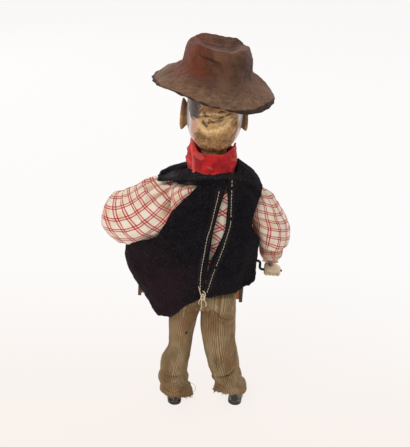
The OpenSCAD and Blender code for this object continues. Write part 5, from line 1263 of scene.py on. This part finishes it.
def make_shirt():
    a = circle_angles(220)
    z = np.linspace(WAIST_Z, SHOULDER_Z - 3.6, 80)[:, None]
    body = xyz(*torso_ring(a, z, SHIRT_ROOM), z).copy()
    x = body[..., 0]
    out = 2.1 * bell(x - slit_mid(z), 11) * ramp(WAIST_Z, WAIST_Z + 14, z) * ramp(0, 0.6, np.sin(a))
    folds = 0.35 * waves(body * [1, 1, 0.35], 9, 51)
    body[..., 1] += out + folds * ramp(0, 0.6, np.abs(np.sin(a))) * np.sign(np.sin(a))
    top = np.array([
        body[-1] * [k, k, 1] + [0, TORSO_Y * (1 - k), 1.6 * (1 - k)] for k in (0.9, 0.7, 0.5, 0.4)])
    points = np.concatenate([body, top])
    cloth = tube_cloth(points, CHECK_STEP, math.radians(45))
    shirt = grid_piece("shirt_cloth", points, "checked_cotton", cloth=cloth)
    thicken(shirt, 0.4)
    carry(shirt, "root", "checked_cotton", "shirt_body")


# Sleeves
LEFT_PUFF_R = 19.0
# Middle of each ring from the shoulders' level, and its share of the puff's radius
LEFT_SLEEVE_PATH = [
    (20, 1, -12, 0.55), (26, 0.5, -16, 0.74), (33, 0, -22.5, 0.93), (41, -1, -29, 1), (50, -3, -34.6, 1),
    (57, -7, -37.6, 0.93), (58, -13, -39.4, 0.85), (54.5, -20, -40.4, 0.72), (50.5, -27, -42.3, 0.6),
    (47.2, -32, -44.6, 0.45), (45, -35.4, -46.2, 0.33), (44.4, -37, -46.8, 0.37)]


def tube_about(path, radii, cols):
    """Rings about a path, as the CAD tube has them"""
    ahead = np.gradient(path, axis=0)
    ahead /= np.linalg.norm(ahead, axis=1, keepdims=True)
    side = np.cross(ahead, [0, 0, 1.0])
    side /= np.linalg.norm(side, axis=1, keepdims=True)
    up = np.cross(side, ahead)
    w = circle_angles(cols)
    ring = side[:, None] * np.cos(w)[None, :, None] - up[:, None] * np.sin(w)[None, :, None]
    return path[:, None] + ring * radii[..., None]


def make_left_sleeve():
    rows, cols = 120, 156
    table = np.array(LEFT_SLEEVE_PATH, float)
    steps = np.linalg.norm(np.diff(table[:, :3], axis=0), axis=1)
    at = np.concatenate([[0], np.cumsum(steps)])
    t = np.linspace(0, at[-1], rows)
    smooth = through(at, table, t)
    path = smooth[:, :3] + [0, 0, SHOULDER_Z]
    w = circle_angles(cols)
    share = (t / at[-1])[:, None]
    radii = smooth[:, 3:4] * LEFT_PUFF_R
    wandering = 11 * w + 1.5 * np.sin(3 * w) + 1.2 * np.sin(9 * share + 2 * w)
    pleats = np.cos(wandering) * (0.11 * ramp(0.36, 0.04, share) + 0.05 * ramp(0.62, 0.97, share))
    sag = 0.02 * np.cos(2 * w + 5 * share)
    points = tube_about(path, radii * (1 + pleats + sag), cols)
    normals = grid_normals(points)
    points = points + normals * (0.45 * waves(points, 13, 61) + 0.2 * waves(points, 5, 62))[..., None]
    cloth = tube_cloth(points, CHECK_LONG_STEP, math.radians(-12))
    # Tan in the valleys between the gathers near the sleeve's top
    tan_tint = ramp(0.3, 0.12, share) * ramp(0.1, -0.7, np.cos(wandering))
    sleeve = grid_piece("left_sleeve_cloth", points, "checked_cotton", cloth=cloth,
        marks={"tan_tint": 0.8 * tan_tint})
    finish_sleeve(sleeve, points, share, "left_sleeve", "root", 0.07, 2.0)


def finish_sleeve(sleeve, points, share, node, body, grow, cap):
    """Buckles a sleeve whose rows lie at the given shares of its length, held at its ends"""
    held = ramp(0.05, 0.0, share) + ramp(0.95, 1.0, share)
    crumple(sleeve, held, points.shape[1], grow, 0.6, cap)
    thicken(sleeve, 0.4)
    subdivide(sleeve)
    carry(sleeve, body, "checked_cotton", node)


# Right upper sleeve: heights are from the foot of its puff
PUFF_FOOT_Z = SHOULDER_Z - 49
PUFF_AT = (-46.2, -10.5)
PUFF_X = [(0, 0), (8, 0), (18, 2.6), (26, 7.6), (36, 12), (41, 15.5), (45, 18)]
PUFF_Y = [(0, 0), (10, 1), (22, 5), (34, 9.5), (45, 12)]
PUFF_WIDE = [(0, 0.92), (3, 0.98), (10, 1), (17, 0.98), (26, 0.92), (34, 0.84), (41, 0.64), (45, 0.36)]
PUFF_DEEP = [(0, 0.95), (4, 1), (15, 0.99), (24, 0.86), (34, 0.62), (41, 0.42), (45, 0.26)]


def make_right_upper_sleeve():
    rows, cols = 84, 132
    w = circle_angles(cols)
    h = np.linspace(0, 45, rows)[:, None]
    fold = 1 + 0.03 * np.cos(7 * w + np.radians(3) * h) * ramp(8, 0, h)
    fold = fold + 0.06 * np.cos(9 * w + 1.2 * np.sin(2 * w)) * ramp(24, 42, h)
    fold = fold + 0.025 * np.cos(4 * w + 0.1 * h)
    x = PUFF_AT[0] + curve(PUFF_X, h) + 11.3 * curve(PUFF_WIDE, h) * fold * soft_cos(w, 2.3)
    x = x + 3.2 * bell(h - 12, 9) * ramp(0, 0.8, np.cos(w))
    y = PUFF_AT[1] + curve(PUFF_Y, h) + 18.8 * curve(PUFF_DEEP, h) * fold * soft_sin(w, 2.3)
    outer = xyz(x, y, PUFF_FOOT_Z + h)
    middle = outer[0].mean(axis=0)
    lining = np.array([middle + (outer[row] - middle) * [k, k, 1] + [0, 0, lift]
        for row, k, lift in ((2, 0.94, 2.2), (2, 0.95, 0.6), (0, 0.97, -0.3))])
    points = np.concatenate([lining, outer])
    normals = grid_normals(points)
    share = np.concatenate([np.zeros(3), np.linspace(0, 1, rows)])[:, None]
    points = points + normals * (0.4 * waves(points, 12, 63) * ramp(0, 0.1, share))[..., None]
    cloth = tube_cloth(points, CHECK_STEP, math.radians(14))
    sleeve = grid_piece("right_upper_sleeve_cloth", points, "checked_cotton", cloth=cloth)
    along = mix(0.06, 1, share)
    finish_sleeve(sleeve, points, along, "right_upper_sleeve", "root", 0.06, 1.2)


GRIP = np.array([-50.5, -36.0, SHOULDER_Z - 87.5])
RIGHT_WRIST = GRIP + [2.2, 10 * math.cos(math.radians(45)), 10 * math.sin(math.radians(45))]
FOREARM_TOP = np.array([-46.2, -10.5, SHOULDER_Z - 45])
FOREARM_KNEE = FOREARM_TOP + [0, -2, -16]
LOWER_PATH = [(0, 0), (0.12, 0.24), (0.3, 0.62), (0.46, 0.9), (0.6, 1), (1, 1)]
LOWER_WIDTHS = [(0, 4.4), (0.05, 5.8), (0.13, 4.8), (0.35, 7.2), (0.6, 8.2), (0.78, 8.2), (0.88, 6.6),
    (0.97, 6.6), (1, 5.6)]


def make_right_lower_sleeve():
    rows, cols = 90, 96
    a = circle_angles(cols)
    s = np.linspace(0, 1, rows)[:, None]
    cuff = RIGHT_WRIST + (FOREARM_KNEE - RIGHT_WRIST) * 0.28
    folds = 0.06 * np.cos(8 * a) * bell(s - 0.12, 0.14) + 0.03 * np.cos(3 * a + 9 * s)
    r = curve(LOWER_WIDTHS, s) * (1 + folds)
    tilt = 0.6 * (1 - ramp(0, 0.6, s))
    points = xyz(
        mix(cuff[0], FOREARM_TOP[0], curve(LOWER_PATH, s)) + r * np.cos(a),
        mix(cuff[1], FOREARM_TOP[1], curve(LOWER_PATH, s)) + r * np.sin(a) * (1 - tilt * 0.2),
        mix(cuff[2], FOREARM_TOP[2], s) + r * np.sin(a) * tilt)
    cloth = tube_cloth(points, CHECK_STEP, math.radians(-8))
    # Tan towards the top of the lower sleeve, under the puff
    sleeve = grid_piece("right_lower_sleeve_cloth", points, "checked_cotton", cloth=cloth,
        marks={"tan_tint": 0.75 * ramp(0.12, 0.4, s)})
    finish_sleeve(sleeve, points, s, "right_lower_sleeve", "hand_body", 0.05, 0.8)


# Trousers: two ribbed legs that bunch over the shoes, and the seat
# Share of the height, middle and half width
LEFT_LEG = [(0, 13.8, 10.4), (0.073, 16.2, 11.7), (0.15, 17.9, 10.6), (0.25, 18.4, 10.2), (0.36, 17.1, 9.7),
    (0.47, 15, 8.5), (0.6, 14.7, 8.8), (0.8, 13.4, 9.6), (1, 11.9, 11)]
RIGHT_LEG_X = [(0, -25.2), (0.08, -24.4), (0.25, -19.8), (0.42, -16), (0.6, -13.2), (0.8, -11.5), (1, -11.2)]
RIGHT_LEG_W = [(0, 11.4), (0.08, 11.4), (0.15, 10.8), (0.25, 11.2), (0.42, 12), (0.6, 11.8), (0.8, 11.8),
    (1, 12)]
LEG_Y = [(0, 2.6), (0.3, 2.4), (1, 3.2)]
LEG_DEPTH = [(0, 9.5), (0.12, 11.5), (0.25, 11.6), (0.6, 11.2), (1, 13)]
# Height over the hips, half width and half depth
SEAT_RINGS = [(-1.6, 2.4, 1.7), (-1.6, 12, 7), (-1.6, 18, 11), (-1.5, 21, 12.9), (1, 22.3, 13.5),
    (6, 22.4, 13.6), (14, 22.7, 14), (18, 23.6, 16.6), (21.5, 22.8, 16.5)]
# Creases behind: a line of (x, z), how deep and how wide
LEFT_CREASES = [
    ([(28.5, 31.5), (24.3, 28.8), (18.3, 27.5), (10.2, 29.4)], 1.0, 1.0),
    ([(27.5, 26.8), (22.5, 23.2), (17.2, 21.8), (12.9, 24.0)], 1.1, 1.1),
    ([(20.5, 72.3), (15.5, 73.1), (10.4, 73.0)], 0.5, 0.5),
    ([(14, 83), (8.2, 84.8)], 0.4, 0.5),
    ([(25, 16), (17, 13.5), (9, 15)], 0.7, 0.9),
]
RIGHT_CREASES = [
    ([(-6.5, 89.5), (-8.1, 88.2), (-12.8, 82.0), (-18.8, 79.1), (-24.5, 80.8)], 1.5, 0.9),
    ([(-15.3, 78.0), (-17.0, 74.5), (-18.6, 72.6), (-24.6, 74.0)], 0.8, 0.9),
    ([(-14.0, 28.2), (-16.5, 28.4), (-20.5, 29.6), (-23.7, 31.6), (-29.4, 39.6)], 1.6, 0.9),
    ([(-4.4, 89), (-4.6, 76.3), (-11.0, 56.6), (-14.6, 36.2), (-15.7, 30.0)], 1.3, 1.1),
    ([(-13.0, 14.2), (-17.6, 16.9), (-23.9, 15.8)], 0.6, 1.0),
]


def leg_grid(side, hem, lean, phase):
    """Shares of the height and points of a leg, with its cloth bunched low and high"""
    a = circle_angles(150)
    t = np.linspace(0, 1.11, 190)[:, None]
    low_t = np.minimum(t, 1)
    if side == "left":
        middle, half_w = curve(LEFT_LEG, low_t), curve(LEFT_LEG, low_t, 2)
    else:
        middle, half_w = curve(RIGHT_LEG_X, low_t), curve(RIGHT_LEG_W, low_t)
    low = 0.9 * np.sin(FULL * t * 7 + 1.22 * np.cos(a + phase)) * ramp(0.36, 0.06, t)
    high = 0.5 * np.sin(FULL * t * 4 + 1.05 * np.cos(a - phase)) * ramp(0.75, 0.98, t)
    r = 1 + (low + high) / 11
    lift = 6 * ramp(0.2, 1, -np.sin(a)) + 2.5 * ramp(0.2, 1, np.sin(a))
    lift = (lift + 0.6 * np.sin(2 * a + phase) + 0.35 * np.cos(13 * a)) * ramp(0.12, 0, t)
    deep = curve(LEG_DEPTH, low_t) + 2.8 * ramp(0.84, 0.96, t) - 5 * ramp(1.05, 1.11, t)
    square = mix(2.3, 3.6, ramp(0.8, 0.96, t))
    return t, xyz(
        middle + half_w * r * soft_cos(a, square),
        curve(LEG_Y, low_t) + lean * (1 - t) + deep * r * soft_sin(a, square),
        mix(hem, HIP_Z + 7, t) + lift)


def make_leg(side, hem, lean, phase, creases, seed):
    t, points = leg_grid(side, hem, lean, phase)
    normals = grid_normals(points)
    soft = 0.45 * waves(points * [1, 1, 0.6], 12, seed)
    soft = soft + 0.2 * waves(points, 4.5, seed + 1) * ramp(0.5, 0.1, t)
    points = points + normals * soft[..., None]
    for line, depth, width in creases:
        points = creased(points, line, depth, width, normals)
    dark = np.zeros(points.shape[:2])
    if side == "left":
        far = np.hypot(points[..., 0] - 10.1, points[..., 2] - 67)
        hole = bell(far + 0.35 * waves(points, 1.5, seed + 2), 1.1) * (normals[..., 1] > 0)
        points = points - normals * (0.8 * hole)[..., None]
        # The hole is only a shallow dent; its dark colour is painted shade
        dark = ramp(0.25, 0.6, hole)
    cloth = tube_cloth(points, WALE)
    leg = grid_piece(f"{side}_trouser_leg", points, "corduroy", cloth=cloth, marks={"dark": dark})
    crumple(leg, ramp(0.12, 0.0, t) + ramp(0.9, 1.0, t), points.shape[1], 0.035, 0.2, 0.8)
    thicken(leg, 0.7)
    carry(leg, "root", "corduroy")
    frays = make_frays(f"{side}_hem_threads", points[0], seed + 3)


def make_frays(name, hem, seed):
    """Short ends of thread that hang from a worn hem"""
    rng = np.random.default_rng(seed)
    lines = []
    for i in rng.choice(len(hem), 90, replace=True):
        root = hem[i] + rng.normal(0, 0.15, 3)
        out = hem[i] - hem.mean(axis=0)
        out[2] = 0
        out /= np.linalg.norm(out)
        long = rng.uniform(0.5, 1.9)
        way = out * rng.uniform(-0.1, 0.5)
        way = way + [rng.normal(0, 0.35), rng.normal(0, 0.35), -rng.uniform(0.3, 1.0)]
        bend = rng.normal(0, 0.25, 3)
        t = np.linspace(0, 1, 5)[:, None]
        lines.append(root + way * long * t + bend * long * t**2)
    return carry(tubes_piece(name, lines, 0.12, "fray", 5), "root", "corduroy")


def make_trousers():
    make_leg("left", 5.5, -0.5, math.radians(100), LEFT_CREASES, 71)
    make_leg("right", 9.0, -4.0, math.radians(40), RIGHT_CREASES, 81)
    a = circle_angles(200)
    rings = [
        xyz(half_w * soft_cos(a, 3.2), TORSO_Y + half_d * soft_sin(a, 3.2), HIP_Z + lift)
        for lift, half_w, half_d in SEAT_RINGS]
    points = smooth_rows(rings, 60)
    normals = grid_normals(points)
    points = points + normals * (0.15 * waves(points * [1, 1, 0.5], 10, 91))[..., None]
    seat = grid_piece("trouser_seat", points, "corduroy", cloth=tube_cloth(points, WALE), marks={"dark": 0})
    thicken(seat, 0.7)
    carry(seat, "root", "corduroy", "trousers")
    loop = through(
        range(7),
        [(7.0, 7.0, 14.8), (3.4, 10.6, 14.2), (1.4, 12.4, 16.2), (1.0, 12.8, 19.4), (2.2, 12.6, 21.6),
            (4.6, 11.0, 21.8), (7.6, 7.0, 20.6)],
        np.linspace(0, 6, 40))
    thread = tubes_piece("loose_hem_thread", [loop], 0.11, "fray", 6)
    carry(thread, "root", "corduroy")


def make_shoes_and_hands():
    for node, body, slot, voxel, rounds, swell, ending in (
            ("left_shoe", "root", "black_gloss", 0.35, 5, 0.12, "gloss"),
            ("right_shoe", "root", "black_gloss", 0.35, 5, 0.12, "gloss"),
            ("left_hand", "root", "hand_wood", 0.3, 5, 0.08, "carved"),
            ("right_hand", "hand_body", "hand_wood", 0.28, 4, 0.7, "carved")):
        carry(softened(f"{node}_{ending}", node, slot, voxel, rounds, swell), body, slot, node)


# Stage, light and camera
def make_stage():
    """Pale floor that the camera sees lit evenly, and that still takes shadows"""
    floor = Finish("stage", 0.9)
    floor.tone = srgb(244, 240, 236)
    floor.done()
    away = floor.node("SeparateXYZ", floor.place(), out=1)
    warm = floor.blend(floor.spread(away, -0.25, 0.1), (254, 253, 252), (251, 243, 238))
    share = floor.math("MULTIPLY", floor.node("LightPath", out="Is Camera Ray"), 0.9)
    shown = floor.node("MixShader", share, floor.shader.outputs[0], floor.node("Emission", warm))
    floor.join(floor.tree.nodes["Material Output"].inputs["Surface"], shown)
    far = 3.0
    mesh = bpy.data.meshes.new("floor")
    mesh.from_pydata([(-far, -far, 0), (far, -far, 0), (far, far, 0), (-far, far, 0)], [], [(0, 1, 2, 3)])
    mesh.materials.append(floor.material)
    add_object("floor", mesh)


def make_world():
    """Soft daylight, with a plain pale backdrop for the camera and for gloss"""
    world = bpy.data.worlds.new("studio")
    bpy.context.scene.world = world
    world.use_nodes = True
    sky = Wiring(world.node_tree)
    seen = sky.math(
        "MAXIMUM", sky.node("LightPath", out="Is Camera Ray"), sky.node("LightPath", out="Is Glossy Ray"))
    light = sky.tree.nodes["Background"]
    sky.join(light.inputs["Color"], srgb(246, 248, 252))
    sky.join(light.inputs["Strength"], 0.55)
    backdrop = sky.node("Background", srgb(253, 252, 251), 1.0)
    shown = sky.node("MixShader", seen, light.outputs[0], backdrop)
    sky.join(sky.tree.nodes["World Output"].inputs["Surface"], shown)


def make_lamp(name, place, watts, size):
    """Soft square lamp aimed at the middle of the figure"""
    lamp = bpy.data.lights.new(name, "AREA")
    lamp.energy = watts
    lamp.size = size
    piece = add_object(name, lamp)
    piece.location = place
    aim = Vector((AXIS[0] * MM, AXIS[1] * MM, 0.14)) - piece.location
    piece.rotation_mode = "QUATERNION"
    piece.rotation_quaternion = aim.to_track_quat("-Z", "Y")


def make_camera():
    """Camera behind the figure, as the photograph was taken"""
    target = Vector(in_frame([[2.5, 0, 148]])[0])
    elevation, distance, roll = math.radians(25), 0.69, math.radians(4)
    focal_px, picture_long_px = 986, 447
    back = Vector((0, math.cos(elevation), math.sin(elevation)))
    data = bpy.data.cameras.new("camera")
    data.sensor_width = 36
    data.lens = focal_px / picture_long_px * data.sensor_width
    camera = add_object("camera", data)
    camera.location = target + back * distance
    camera.rotation_mode = "QUATERNION"
    camera.rotation_quaternion = (-back).to_track_quat("-Z", "Y") @ Quaternion((0, 0, 1), roll)
    bpy.context.scene.camera = camera


make_camera()
make_world()
make_stage()
make_lamp("key", (0.55, 0.75, 0.85), 5.0, 0.6)
make_lamp("fill", (-0.8, -0.5, 0.6), 3.0, 0.7)
make_lamp("front", (0.5, -0.8, 0.5), 2.5, 0.7)
bpy.context.scene.view_settings.view_transform = "Standard"

finish_cad_nodes()
make_hat()
make_head()
make_neckerchief()
make_waistcoat()
make_shirt()
make_left_sleeve()
make_right_upper_sleeve()
make_right_lower_sleeve()
make_trousers()
make_shoes_and_hands()
